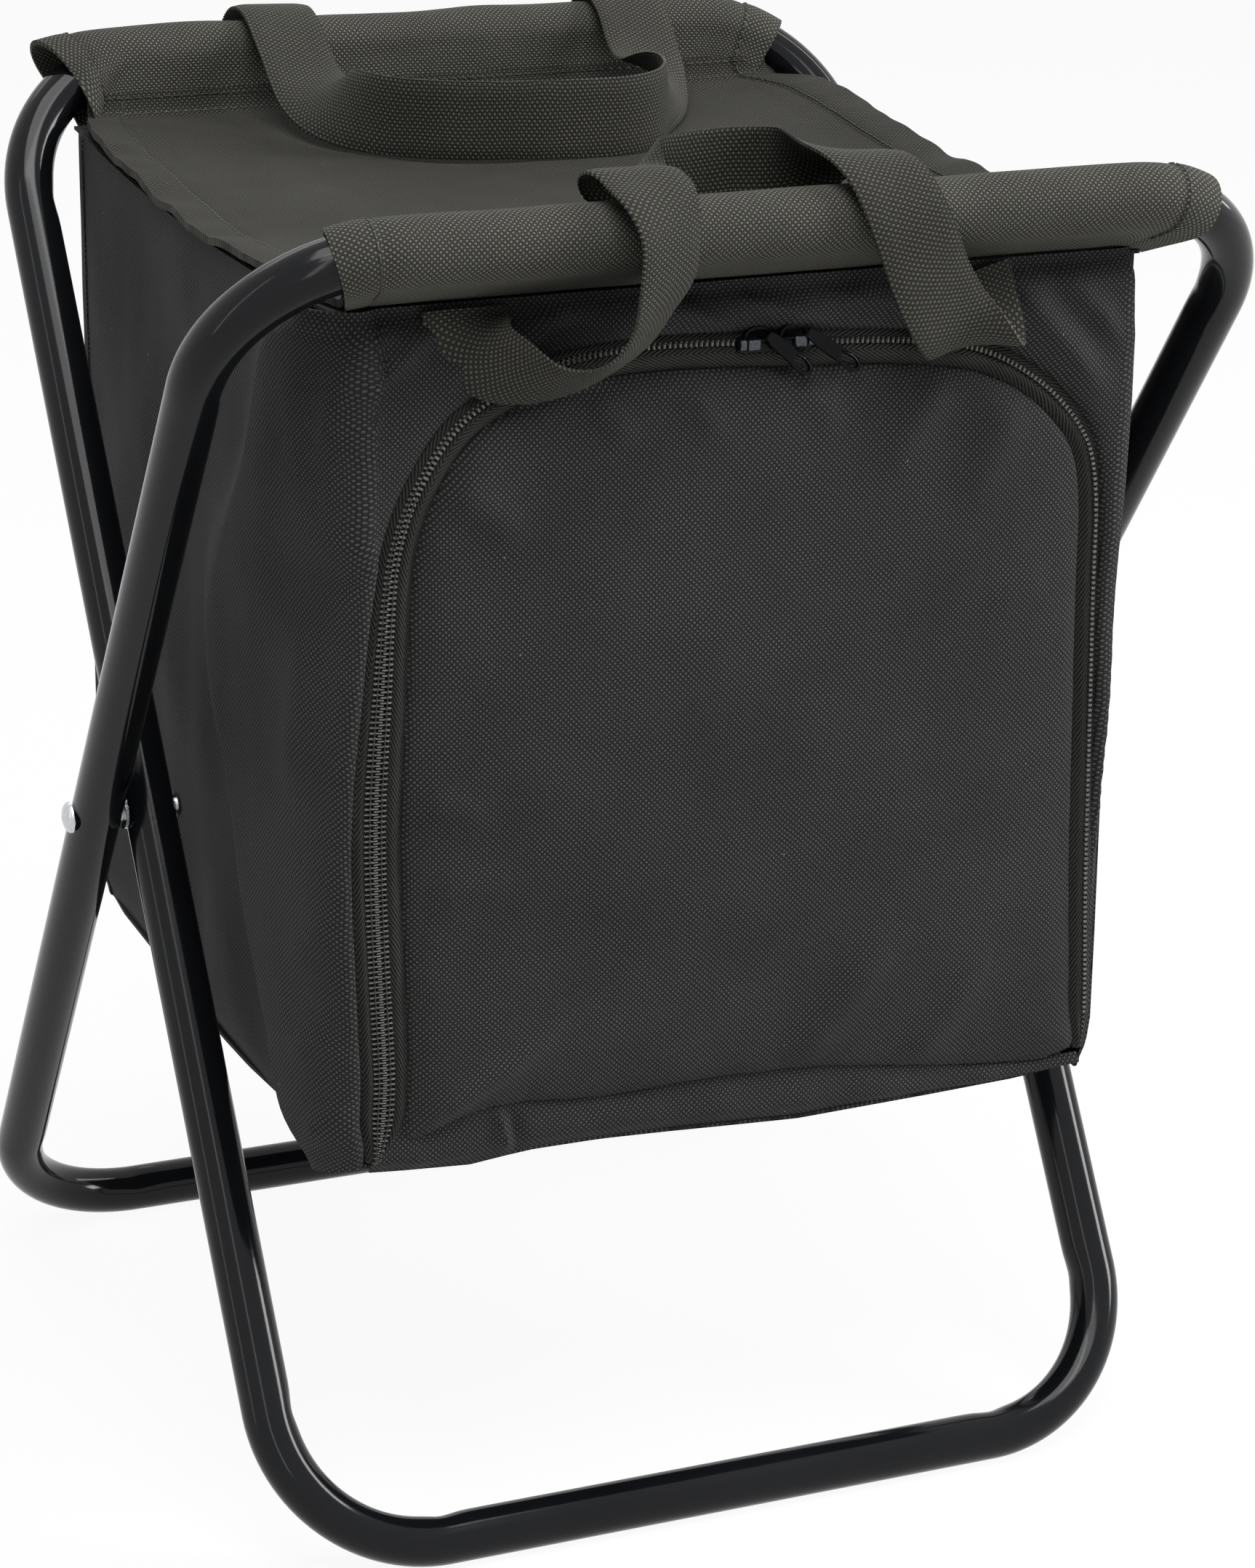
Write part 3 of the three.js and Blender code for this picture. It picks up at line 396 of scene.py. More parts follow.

# %% [markdown]
# ## Woven finishes
# The bag and seat are polyester canvas of about 600 denier, woven plain: each thread passes
# over one and under one. The handles are a coarser, thicker weave of the same kind, and the
# zip's tape is a herringbone twill. A weave needs to follow the cloth, so every cloth piece
# carries an attribute named cloth, its place on the flat cloth in millimetres. Two sine
# waves across it make the domes of the threads, and their product says which is on top.
# The domes also set the colour: painted shade between the threads and a painted highlight on their tops.

# %% Plain weave and herringbone
def woven(name, thread_mm, dark, light, relief_mm, rough, sheen, twill=False):
    """A weave of threads that wide and high. dark is the painted shade in the gaps between them, light the painted
    highlight on their tops.
    """
    material, tree, shader = finish(name, Roughness=rough, Specular_IOR_Level=0.07,
                                    Sheen_Weight=sheen, Sheen_Roughness=0.45)
    place = add(tree, "Attribute", attribute_name="cloth")
    # threads are never quite even: a slow noise bends both sets a little
    sway = add(tree, "TexNoise", {"Vector": place.outputs["Vector"], "Scale": 0.06, "Detail": 2})
    sway = add(tree, "VectorMath", {0: sway.outputs["Color"], "Scale": 1.6}, operation="SCALE")
    bent = add(tree, "VectorMath", {0: place.outputs["Vector"], 1: sway}, operation="ADD")
    axes = add(tree, "SeparateXYZ", {0: bent})
    across, along = axes.outputs[0], axes.outputs[1]
    if twill:  # steep ribs that lean one way left of the middle and the other way right of it
        across = calc(tree, "MULTIPLY_ADD", calc(tree, "ABSOLUTE", across), -2.0, along)
    waves = []
    for thread, run in zip(thread_mm, (across, along)):
        waves.append(calc(tree, "SINE", calc(tree, "MULTIPLY", run, math.pi / thread)))
    product = calc(tree, "MULTIPLY", waves[0], waves[1])
    dome = calc(tree, "ABSOLUTE", waves[0] if twill else product)
    dome = calc(tree, "POWER", dome, 1.0 if twill else 0.55)  # plain threads are flatter on top
    # where a thread dips under the other set it is painted darker, a painted shade
    under = 1.0 if twill else 0.25  # how much of a thread shows where it dips
    on_top = add(tree, "MapRange", {0: product, 1: -0.3, 2: 0.2, 3: under, 4: 1.0})
    height = calc(tree, "MULTIPLY", dome, on_top)
    worn = add(tree, "TexNoise", {"Vector": place.outputs["Vector"], "Scale": 0.022, "Detail": 4})
    fibres = add(tree, "TexNoise", {"Vector": place.outputs["Vector"], "Scale": 1.7, "Detail": 3})
    lit = add(tree, "MapRange", {0: worn, 1: 0.3, 2: 0.7, 3: 0.8, 4: 1.12})
    frayed = add(tree, "MapRange", {0: fibres, 1: 0.3, 2: 0.7, 3: 0.72, 4: 1.2})
    # the colour follows the threads' relief: painted shade in the gaps and dips, a painted highlight on the tops,
    # varied at random by worn and fibres
    painted_shade_and_tone = calc(tree, "MULTIPLY", height, lit)
    painted_shade_and_tone = calc(tree, "MULTIPLY", painted_shade_and_tone, frayed, use_clamp=True)
    tint = between(tree, painted_shade_and_tone, dark, light)
    # lint: specks of dust that black cloth always carries
    dust = add(tree, "TexVoronoi", {"Vector": place.outputs["Vector"], "Scale": 0.07})
    speck = calc(tree, "LESS_THAN", dust.outputs["Distance"], 0.02)
    tree.links.new(between(tree, speck, tint, "#77777a"), shader.inputs["Base Color"])
    bump = add(tree, "Bump", {"Height": height, "Strength": 0.7, "Distance": relief_mm * MM})
    tree.links.new(bump.outputs[0], shader.inputs["Normal"])
    return material


canvas = woven("polyester_canvas_600d", (0.85, 0.86), "#0b0b0b", "#525252", 0.45, 0.7, 0.02)
# the seat and sleeves are cut from the bag's canvas: the seat's warmer colour is a painted warm tint of the light on
# the tops, and the sleeves' much lighter colour is painted top light
warm_lit_seat_canvas = woven("seat_canvas_600d", (0.85, 0.86), "#0c0c0b", "#53524c", 0.45, 0.7, 0.03)
top_lit_sleeve_canvas = woven("sleeve_canvas_600d", (0.85, 0.86), "#10100f", "#706f68", 0.45, 0.7, 0.03)
webbing = woven("polypropylene_webbing", (1.15, 0.8), "#0c0c0b", "#605f58", 0.6, 0.6, 0.03)
zip_tape = woven("herringbone_tape", (1.9, 1.9), "#060606", "#3a3a38", 0.6, 0.7, 0.02, twill=True)

# Aluminised polyethylene film over foam, embossed with small dimples by the rollers
foil, tree, shader = finish("aluminised_foam_lining", Metallic=0.85, Roughness=0.35)
place = add(tree, "Attribute", attribute_name="cloth")
crush = add(tree, "TexNoise", {"Vector": place.outputs["Vector"], "Scale": 0.09, "Detail": 5})
dimples = add(tree, "TexVoronoi", {"Vector": place.outputs["Vector"], "Scale": 0.25}, feature="SMOOTH_F1")
relief = calc(tree, "ADD", crush, dimples.outputs["Distance"])
tree.links.new(between(tree, crush, "#8d9194", "#c6c9cb"), shader.inputs["Base Color"])
bump = add(tree, "Bump", {"Height": relief, "Strength": 0.5, "Distance": 1.2 * MM})
tree.links.new(bump.outputs[0], shader.inputs["Normal"])
print("woven finishes", canvas.name, warm_lit_seat_canvas.name, webbing.name, zip_tape.name)

# %% [markdown]
# ## Nets of points
# Every soft piece here is a net: rows and columns of points, worked out with a formula and
# joined by quads. A cloth net gets a second layer, one thickness under the first, and a rim
# between them, so the piece is a closed solid like the real cloth.

# %% Helpers that build meshes
def net(rows, columns, round_rows=False, round_columns=False):
    r, c = np.meshgrid(np.arange(rows - (not round_rows)), np.arange(columns - (not round_columns)),
                       indexing="ij")
    r2, c2 = (r + 1) % rows, (c + 1) % columns
    corners = [r * columns + c, r * columns + c2, r2 * columns + c2, r2 * columns + c]
    return np.stack(corners, -1).reshape(-1, 4).tolist()


def capped(rings, sides):
    """The faces of a bar of rings, with one more over each end."""
    ends = [list(range(sides)), [(rings - 1) * sides + k for k in range(sides)]]
    return net(rings, sides, round_columns=True) + ends


def make_piece(name, points, faces, material, cloth=None, sharp=50):
    """A mesh object from points in millimetres. cloth is each point's place on the flat cloth."""
    mesh = bpy.data.meshes.new(name)
    mesh.from_pydata((np.asarray(points, float).reshape(-1, 3) * MM).tolist(), [], faces)
    shape = bmesh.new()
    shape.from_mesh(mesh)
    bmesh.ops.recalc_face_normals(shape, faces=shape.faces)
    shape.to_mesh(mesh)
    shape.free()
    mesh.polygons.foreach_set("use_smooth", [True] * len(mesh.polygons))
    mesh.set_sharp_from_angle(angle=math.radians(sharp))
    if cloth is not None:
        flat = np.zeros((len(mesh.vertices), 3), np.float32)
        flat[:, :2] = np.asarray(cloth, float).reshape(-1, 2)
        mesh.attributes.new("cloth", "FLOAT_VECTOR", "POINT").data.foreach_set("vector", flat.ravel())
    mesh.materials.append(material)
    piece = bpy.data.objects.new(name, mesh)
    bpy.context.scene.collection.objects.link(piece)
    print(name, len(mesh.vertices), "points", [round(v / MM) for v in piece.dimensions], "mm")
    return piece


def stack(*columns):
    """Coordinates of points from their columns, which may have any shapes that fit together."""
    return np.stack(np.broadcast_arrays(*columns), -1)


def upright(flat, depth):
    """Flat points (X, Z) stood up at that Y."""
    return stack(flat[..., 0], depth, flat[..., 1])


def lengths(vectors):
    return np.linalg.norm(vectors, axis=-1)


def unit(vectors):
    return vectors / np.maximum(lengths(vectors)[..., None], 1e-9)


def mix(a, b, share):
    return a * (1 - share) + b * share


def hump(value, width, power=2):
    """1 where value is 0, fading within about that width on both sides."""
    return np.exp(-(value / width) ** power)


def net_normals(points, round_rows=False, round_columns=False):
    def slope(axis, wraps):
        if wraps:
            return np.roll(points, -1, axis) - np.roll(points, 1, axis)
        return np.gradient(points, axis=axis)
    return unit(np.cross(slope(1, round_columns), slope(0, round_rows)))


def layered(name, top, under, material, cloth, round_rows=False, round_columns=False):
    """A closed piece of cloth between two nets with the same rows and columns."""
    rows, columns = top.shape[:2]
    count = rows * columns
    quads = net(rows, columns, round_rows, round_columns)
    faces = quads + [[i + count for i in reversed(q)] for q in quads]
    index = np.arange(count).reshape(rows, columns)
    rims = [] if round_rows else [index[0], index[-1][::-1]]
    rims += [] if round_columns else [index[::-1, 0], index[:, -1]]
    for rim in rims:
        line = list(rim) + ([rim[0]] if round_columns else [])
        faces += [[int(a), int(b), int(b) + count, int(a) + count] for a, b in zip(line, line[1:])]
    points = np.concatenate([top.reshape(-1, 3), under.reshape(-1, 3)])
    return make_piece(name, points, faces, material, np.concatenate([cloth.reshape(-1, 2)] * 2))


def bumpy(points, size, amount, seed=0.0):
    """A smooth noise with features of about that size, at each point."""
    flat = np.asarray(points, float).reshape(-1, points.shape[-1]) / size + seed
    flat = np.pad(flat, ((0, 0), (0, 3 - flat.shape[1])))
    return amount * np.array([noise.noise(Vector(p)) for p in flat]).reshape(points.shape[:-1])


def run_along(line):
    """The length of a line of points up to each of them."""
    return np.concatenate([[0], np.cumsum(lengths(np.diff(line, axis=0)))])


def length_of(line):
    return lengths(np.diff(line, axis=0)).sum()


def places_at(at, run, line):
    """Points of the line at those lengths of its run."""
    return stack(*(np.interp(at, run, column) for column in line.T))


def evened(line, count, endpoint=True):
    """The same line, as count places spread evenly along it."""
    run = run_along(line)
    return places_at(np.linspace(0, run[-1], count, endpoint=endpoint), run, line)


def smooth_line(points, count, power=0.5):
    """A cubic curve through the points, as count places spread evenly along its first three columns."""
    points = np.asarray(points, float)
    steps = np.linalg.norm(np.diff(points[:, :3], axis=0), axis=1) ** power
    at = np.concatenate([[0], np.cumsum(steps)])
    n = len(at)
    h = np.diff(at)
    system = np.eye(n)
    right_side = np.zeros((n, points.shape[1]))
    for i in range(1, n - 1):
        system[i, i - 1:i + 2] = h[i - 1], 2 * (h[i - 1] + h[i]), h[i]
        right_side[i] = 6 * ((points[i + 1] - points[i]) / h[i] - (points[i] - points[i - 1]) / h[i - 1])
    second = np.linalg.solve(system, right_side)

    def value(t):
        k = np.clip(np.searchsorted(at, t) - 1, 0, n - 2)
        a, b = (at[k + 1] - t)[:, None], (t - at[k])[:, None]
        w = h[k][:, None]
        return ((second[k] * a ** 3 + second[k + 1] * b ** 3) / (6 * w)
                + (points[k] / w - second[k] * w / 6) * a + (points[k + 1] / w - second[k + 1] * w / 6) * b)

    dense = value(np.linspace(0, at[-1], 1200))
    run = run_along(dense[:, :3])
    return places_at(np.linspace(0, 1, count) * run[-1], run, dense)


def steps_along(line, pitch):
    """Evenly spaced places on a line of points, their directions, and the shares of the line."""
    run = run_along(line)
    at = np.arange(pitch / 2, run[-1], pitch)
    ahead_of = places_at(at + 0.4, run, line) - places_at(at - 0.4, run, line)
    return places_at(at, run, line), unit(ahead_of), at / run[-1]


bar_profile = [(-1, 0.4), (-0.75, 1), (0.75, 1), (1, 0.4)]


def strew(name, spots, along, up, size, material, sides=6, profile=bar_profile):
    """Many small bars with rounded ends in one mesh, such as stitches or the teeth of a zip."""
    spots, along = np.asarray(spots), unit(np.asarray(along))
    size = np.broadcast_to(size, spots.shape) / 2
    side = unit(np.cross(np.broadcast_to(up, along.shape), along))
    up = np.cross(along, side)
    turn = np.arange(sides) * 2 * np.pi / sides
    shape = np.array([(x, r * np.cos(a), r * np.sin(a)) for x, r in profile for a in turn])
    frames = np.stack([along, side, up], 1)
    points = spots[:, None] + np.einsum("kc,nc,nci->nki", shape, size, frames)
    one = capped(len(profile), sides)
    faces = [[i + n * len(shape) for i in face] for n in range(len(spots)) for face in one]
    return make_piece(name, points, faces, material)


def reach_round(line, turns):
    """How far a closed line round the origin is from it, in each direction of turns."""
    angle = np.arctan2(line[:, 1], line[:, 0]) % (2 * np.pi)
    order = np.argsort(angle)
    return np.interp(turns, angle[order], lengths(line)[order], period=2 * np.pi)


def ease(low, high, value):
    t = np.clip((np.asarray(value, float) - low) / (high - low), 0, 1)
    return t * t * (3 - 2 * t)


def inside(share, start, end):
    """1 inside a cloth and 0 at both its edges, which it leaves over those shares of its size."""
    return np.minimum(ease(0, start, share), ease(0, end, 1 - share))


def settle(piece, body=None, node=None, slot=None):
    """What the piece moves with, the solid it shows and the slot of its finish."""
    if body:
        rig.ride(piece, body)
    if node:
        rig.replaces(piece, node)
    if slot:
        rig.slot(piece, slot)


print("helpers ready")

# %% [markdown]
# ## The two tube loops
# Each loop is one length of 16 mm tube, bent four times round a former and welded shut. A
# former draws the outside of a bend in a little and leaves small dents where its clamp
# began. A section swept round the loop gives all that; an extruded curve could give the
# bend but not its flattening.

# %% Sizes of the frame, as in the solids
open_angle = math.radians(34.6)
pivot_height = 207.2
tube_radius = 8.0
bend_radius = 48.0
leg_above, leg_below = 249.0, 242.0  # from the rivet to the middle of each crossing tube
outer_half, inner_half = 160.5, 143.2  # from the middle of the stool to the middle of a leg
clamp_dent = 0.7
bend_flattening = 0.5
tube_sides = 40


def lean(points, side):
    """From a frame's own plane to the stool. side is -1 if its top leans forward, 1 if it leans back."""
    x, normal, up = (points[..., k] for k in range(3))
    c, s = math.cos(open_angle), math.sin(open_angle)
    return stack(x, side * up * s + normal * c, pivot_height + up * c - side * normal * s)


def loop_line(half_width):
    """Middles of the tube round the loop, the ways out, how bent each is, and where bends end."""
    corners = [(1, leg_above, 0), (-1, leg_above, 90), (-1, -leg_below, 180), (1, -leg_below, 270)]
    middles, outwards, bent, marks = [], [], [], []

    def straight_to(end, out):
        start = middles[-1][-1]
        share = np.linspace(0, 1, int(np.linalg.norm(end - start) / 3) + 2)[1:-1, None]
        middles.append(mix(start, end, share))
        outwards.append(np.repeat(out, len(share), 0))
        bent.append(np.zeros(len(share)))

    for k, (side, height, start) in enumerate(corners):
        centre = np.array([side * (half_width - bend_radius), height - math.copysign(bend_radius, height)])
        turns = np.radians(start + np.linspace(0, 90, 31))
        out = stack(np.cos(turns), np.sin(turns))
        arc = centre + bend_radius * out
        if k:
            straight_to(arc[0], out[:1])
        middles.append(arc)
        outwards.append(out)
        bent.append(np.sin(np.linspace(0, np.pi, 31)))
        marks += [arc[0], arc[-1]]
    straight_to(middles[0][0], outwards[0][:1])
    return np.concatenate(middles), np.concatenate(outwards), np.concatenate(bent), np.array(marks)


def tube_loop(name, half_width, side):
    middles, outwards, bent, marks = loop_line(half_width)
    turns = np.arange(tube_sides) * 2 * np.pi / tube_sides
    near = hump(lengths(middles[:, None] - marks), 4.5).max(1)
    out_share, in_share = np.maximum(np.cos(turns), 0), np.maximum(-np.cos(turns), 0)
    radial = tube_radius * np.cos(turns) - bend_flattening * bent[:, None] * out_share
    radial = radial + (0.35 * bent[:, None] + clamp_dent * near[:, None]) * in_share ** 3
    aside = tube_radius * np.sin(turns) * (1 + 0.012 * bent[:, None])
    points = stack(middles[:, :1] + outwards[:, :1] * radial, aside,
                   middles[:, 1:] + outwards[:, 1:] * radial)
    return make_piece(name, lean(points, side), net(len(middles), tube_sides, True, True), enamel)


outer_tube = tube_loop("outer_tube", outer_half, -1)
inner_tube = tube_loop("inner_tube", inner_half, 1)
for tube, body in ((outer_tube, "outer_frame"), (inner_tube, "inner_frame")):
    settle(tube, body, body + "_tube", "frame_enamel")

# %% [markdown]
# ## Rivets
# A solid rivet goes through both legs on each side. Its head is a low dome from the rivet's
# maker, and the other end is spun over into a flatter button. Both are turned profiles.

# %% Rivets and washers
def turned(name, profile, side, material, sides=48):
    """A profile of (place along X, radius) turned round the pivot's line."""
    turns = np.arange(sides) * 2 * np.pi / sides
    rings = [[(side * x, r * math.cos(a), r * math.sin(a) + pivot_height) for a in turns]
             for x, r in profile]
    return make_piece(name, rings, capped(len(profile), sides), material, sharp=35)


def dome(seat, radius, height, dimple):
    """Profile of a head from its rim to its crown, with a shallow dimple left by the tool."""
    turns = np.radians(np.linspace(0, 86, 12))
    line = [(seat + height * math.sin(a), radius * math.cos(a)) for a in turns]
    return line + [(seat + height - dimple, 0.12 * radius)]


head_seat, formed_seat = 168.7, 135.0
for label, side in (("left", -1), ("right", 1)):
    head = dome(head_seat, 5.0, 2.6, 0.0)
    formed = [(2 * formed_seat - x, r) for x, r in dome(formed_seat, 4.5, 2.0, 0.25)]
    shank = [(formed_seat, 3.0), (head_seat, 3.0)]
    rivet = turned(label + "_rivet", formed[::-1] + shank + head, side, zinc)
    settle(rivet, "outer_frame", label + "_pivot_rivet", "rivet_zinc")
    washer = frame["nodes"][label + "_pivot_washer"].data
    washer.materials.clear()
    washer.materials.append(zinc)

# %% [markdown]
# ## Sleeves
# The seat cloth is wrapped round each top tube and sewn to itself, so a sleeve's section is
# a circle drawn out to a point at the seam. Its ends are turned in and stitched, which makes
# them twice as thick. At the rear left the sleeve runs straight on while the tube bends
# away inside it, so the end stands open.

# %% Sleeves round the top tubes
sleeve_thickness = 1.1
sleeve_radius = 9.75
seam_drop = 20.5
hem_width = 10.0
hem_step = 0.55
hem_fade = 0.9
sleeve_columns = 72


def tube_drop(x, half_width):
    """How far the tube's middle has dropped at that place, and the slope it has there."""
    past = np.clip(np.abs(x) - (half_width - bend_radius), 0, bend_radius * 0.97)
    turn = np.arcsin(past / bend_radius)
    return bend_radius * (1 - np.cos(turn)), turn


def sleeve(name, half_width, side, ends, follows, slants, seed):
    """A sleeve from ends[0] to ends[1] along X. follows says how far each end bends with the tube."""
    first, last = ends[0] + hem_width, ends[1] - hem_width
    xs = np.linspace(ends[0], ends[1], 110)
    xs = np.sort(np.concatenate([xs, (first, first + hem_fade, last, last - hem_fade)]))
    drop, turn = tube_drop(xs, half_width)
    lead = turn * np.where(xs < 0, *follows)
    middle = len(xs) // 2
    slopes = np.tan(lead)
    steps = np.diff(xs) * (slopes[1:] + slopes[:-1]) / 2
    own_drop = [np.cumsum(steps[:middle][::-1])[::-1], [0], np.cumsum(steps[middle:])]
    own_drop = np.concatenate(own_drop)
    around = np.pi * np.linspace(-1, 1, sleeve_columns, endpoint=False)
    tangent = math.pi - math.acos(sleeve_radius / seam_drop)
    teardrop = sleeve_radius / np.cos(np.maximum(np.abs(around) - tangent, 0))
    # where the tube bends away inside the sleeve, the sleeve's own section cuts it as an ellipse
    centre = -(drop - own_drop) / np.cos(lead)
    tall = tube_radius / np.cos(turn - lead)
    a, b, t0 = tall[:, None], tube_radius, centre[:, None]
    up, out = np.cos(around), np.sin(around)
    qa = (up / a) ** 2 + (out / b) ** 2
    qb = -2 * up * t0 / a ** 2
    qc = (t0 / a) ** 2 - 1
    root = qb ** 2 - 4 * qa * qc
    tube_edge = np.where(root > 0, (-qb + np.sqrt(np.maximum(root, 0))) / (2 * qa), 0)
    outer = np.maximum(tube_edge + sleeve_thickness + 0.5, teardrop)
    outer = outer + bumpy(stack(xs[:, None], 9 * around[None]), 24, 0.5, seed)
    outer = outer + bumpy(stack(xs[:, None] * 0.25, 9 * around[None]), 7, 0.25, seed)
    edge = np.minimum(xs - ends[0], ends[1] - xs)[:, None]
    hem = 1 - ease(hem_width, hem_width + hem_fade, edge)
    outer = outer + hem_step * hem - 0.35 * hump(edge - hem_width - 0.4, 1.2)
    inner = np.maximum(outer - sleeve_thickness - 0.4 * hem, 0.6)
    slant = np.where(xs < 0, *slants)[:, None] * (1 - ease(0, 24, edge)) * (1 - np.cos(around)) / 2

    def place(r):
        e, n = r * np.cos(around), r * np.sin(around)
        x = xs[:, None] + np.sign(xs)[:, None] * (e * np.sin(lead)[:, None] - slant)
        z = leg_above - own_drop[:, None] + e * np.cos(lead)[:, None]
        return lean(stack(x, n, z), side)

    top, under = place(outer), place(inner)
    arc = run_along(top[middle])
    cloth = stack(xs[:, None], arc[None])
    piece = layered(name, top, under, top_lit_sleeve_canvas, cloth, round_columns=True)
    girth = arc[-1] + np.linalg.norm(top[middle, -1] - top[middle, 0])
    return piece, top, xs, (float(np.ptp(xs)) * MM, float(girth) * MM)


front_sleeve, front_skin, front_x, front_cloth = sleeve(
    "front_sleeve_cloth", outer_half, -1, (-128.7, 135.9), (1, 1), (0, 0), 3.1)
rear_sleeve, rear_skin, rear_x, rear_cloth = sleeve(
    "rear_sleeve_cloth", inner_half, 1, (-131, 124), (0.25, 1), (8, 0), 7.7)
for piece, body, node, size in ((front_sleeve, "outer_frame", "front_sleeve", front_cloth),
                                (rear_sleeve, "inner_frame", "rear_sleeve", rear_cloth)):
    settle(piece, body, node, "sleeve_cloth")
    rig.sheet(piece, flat=size, held="folded", rests_on=[body.split("_")[0] + "_top_tube"])
    print(node, "is cut", [round(s * 1000) for s in size], "mm")

# %% [markdown]
# ## Stitches
# Lockstitch in thick thread shows as a row of short dashes, each pulled a little into the
# cloth. They are made as bars about 2.5 mm long, strewn along a line on the surface.

# %% A row of stitches
stitch_pitch = 3.3
stitch_size = (2.5, 0.55, 0.5)


def stitch_row(name, line, ups):
    """Stitches on a line of points, where ups are the ways the cloth faces."""
    spots, along, share = steps_along(line + ups * 0.1, stitch_pitch)
    index = np.clip((share * (len(line) - 1)).round().astype(int), 0, len(line) - 1)
    return strew(name, spots, along, ups[index], stitch_size, thread)


def sleeve_hem_rows(name, skin, xs, body):
    for label, at in (("left", xs[0] + hem_width + 0.4), ("right", xs[-1] - hem_width - 0.4)):
        nearest = np.abs(xs - at).argmin()
        ring, normals = skin[nearest], net_normals(skin, round_columns=True)[nearest]
        outwards = unit(ring - ring.mean(0))
        normals = normals * np.sign((normals * outwards).sum(-1, keepdims=True))
        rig.ride(stitch_row(name + "_" + label, ring[4:-4], normals[4:-4]), body)


sleeve_hem_rows("front_sleeve_stitches", front_skin, front_x, "outer_frame")
sleeve_hem_rows("rear_sleeve_stitches", rear_skin, rear_x, "inner_frame")

# %% [markdown]
# ## Seat
# The seat is one panel of the same canvas, hemmed along both sides and sewn to the sleeves.
# It hangs in a shallow curve, its hems lift and wander a little, and at each end it turns up
# on to the sleeve, where two rows of stitches hold it.

# %% Seat panel
seat_sag = 6.0
seat_hem = 12.0
seat_end_height = 395.99
seat_half = 128.15
seat_rows, seat_columns = 150, 96
turn_points = dict(start=(0, -0.1414, 0.412), end=(0, 0.1414, 0.412))  # where the cloth leaves each tube


def seat_height(y):
    return seat_end_height - seat_sag * (1 - (y / seat_half) ** 2)


turn_up = np.array([(126.0, 396.4), (127.4, 398.4), (128.1, 400.6), (128.8, 403.2)])
flat_y = np.linspace(-123.5, 123.5, 40)
seat_line = np.concatenate([turn_up[::-1] * (-1, 1), stack(flat_y, seat_height(flat_y)), turn_up])
seat_line = smooth_line(np.pad(seat_line, ((0, 0), (0, 1))), seat_rows)[:, :2]
left_edge, right_edge, left_lift, right_lift = (np.interp(seat_line[:, :1], *marks) for marks in (
    ((-128, -69, -21, 22, 64, 88, 114, 129), (-122, -126, -127, -127, -126.5, -126, -124, -119)),
    ((-128, -56, -1, 44, 79, 110, 122, 129), (124, 124.5, 125.5, 127, 129, 129, 124, 119)),
    ((-126, -69, -21, 22, 64, 88, 114, 122, 129), (0, 2.5, 1, 1.4, 2, 3, 3, 1, 0)),
    ((-126, -80, -26, 20, 60, 100, 120, 129), (0, 3, 5, 6, 7, 7, 2, 0))))

hem_share = seat_hem / 252
hem_edges = [at + step for at in (hem_share, 1 - hem_share) for step in (-0.002, 0.002)]
across = np.sort(np.concatenate([np.linspace(0, 1, seat_columns), hem_edges]))
seat_x = mix(left_edge, right_edge, across)
from_left, from_right = seat_x - left_edge, right_edge - seat_x
from_hem = np.minimum(from_left, from_right)
seat_y = np.broadcast_to(seat_line[:, :1], seat_x.shape)
seat_z = seat_line[:, 1:] + left_lift * hump(from_left, 17, 1.5)
seat_z = seat_z + right_lift * hump(from_right, 20, 1.5)
flat_place = stack(seat_x, seat_y)
loose = 1 - ease(105, 124, np.abs(seat_y))
near_edge = np.exp(-from_hem / 9)
seat_z = seat_z + loose * (bumpy(flat_place, 46, 1.1, 5.0) + bumpy(flat_place * (1, 0.35), 15, 0.45, 2.0))
seat_z = seat_z + near_edge * loose * bumpy(flat_place * (0.3, 1), 15, 1.6, 9.0)
seat_x = seat_x + near_edge * loose * bumpy(flat_place * (0.2, 1), 12, 0.9, 4.0)
hemmed = 1 - ease(seat_hem - 0.7, seat_hem + 0.5, from_hem)
sewn_in = hump(from_hem - seat_hem - 0.2, 1.3)
seat_skin = stack(seat_x, seat_y, seat_z)
seat_normals = net_normals(seat_skin)
seat_normals = seat_normals * np.sign(seat_normals[..., 2:])
seat_top = seat_skin + seat_normals * (0.6 * hemmed - 0.35 * sewn_in)[..., None]
seat_under = seat_skin - seat_normals * (1.2 + 0.5 * hemmed)[..., None]
run = run_along(seat_line)
seat_cloth = stack(seat_x, run[:, None])
seat = layered("seat_cloth", seat_top, seat_under, warm_lit_seat_canvas, seat_cloth)
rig.blend(seat, "outer_frame", "inner_frame", **turn_points)
settle(seat, node="seat_panel", slot="seat_cloth")
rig.sheet(seat, flat=(0.250, float(run[-1]) * MM), held="stretched",
         rests_on=["front_sleeve_cloth", "rear_sleeve_cloth"])
print("seat cloth is cut", round(run[-1]), "mm long")

# %% Stitches of the seat
def seat_row(name, rows, columns):
    row = stitch_row(name, seat_top[rows, columns], seat_normals[rows, columns])
    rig.blend(row, "outer_frame", "inner_frame", **turn_points)


hem_column = int(np.abs(across - hem_share).argmin())
seat_row("seat_left_hem_stitches", slice(2, -2), hem_column)
seat_row("seat_right_hem_stitches", slice(2, -2), len(across) - 1 - hem_column)
for label, offset in (("upper", 1.3), ("lower", 7.6)):
    for end, away in (("front", run), ("rear", run[-1] - run)):
        seat_row(f"seat_{end}_{label}_stitches", int(np.abs(away - offset).argmin()), slice(2, -2))

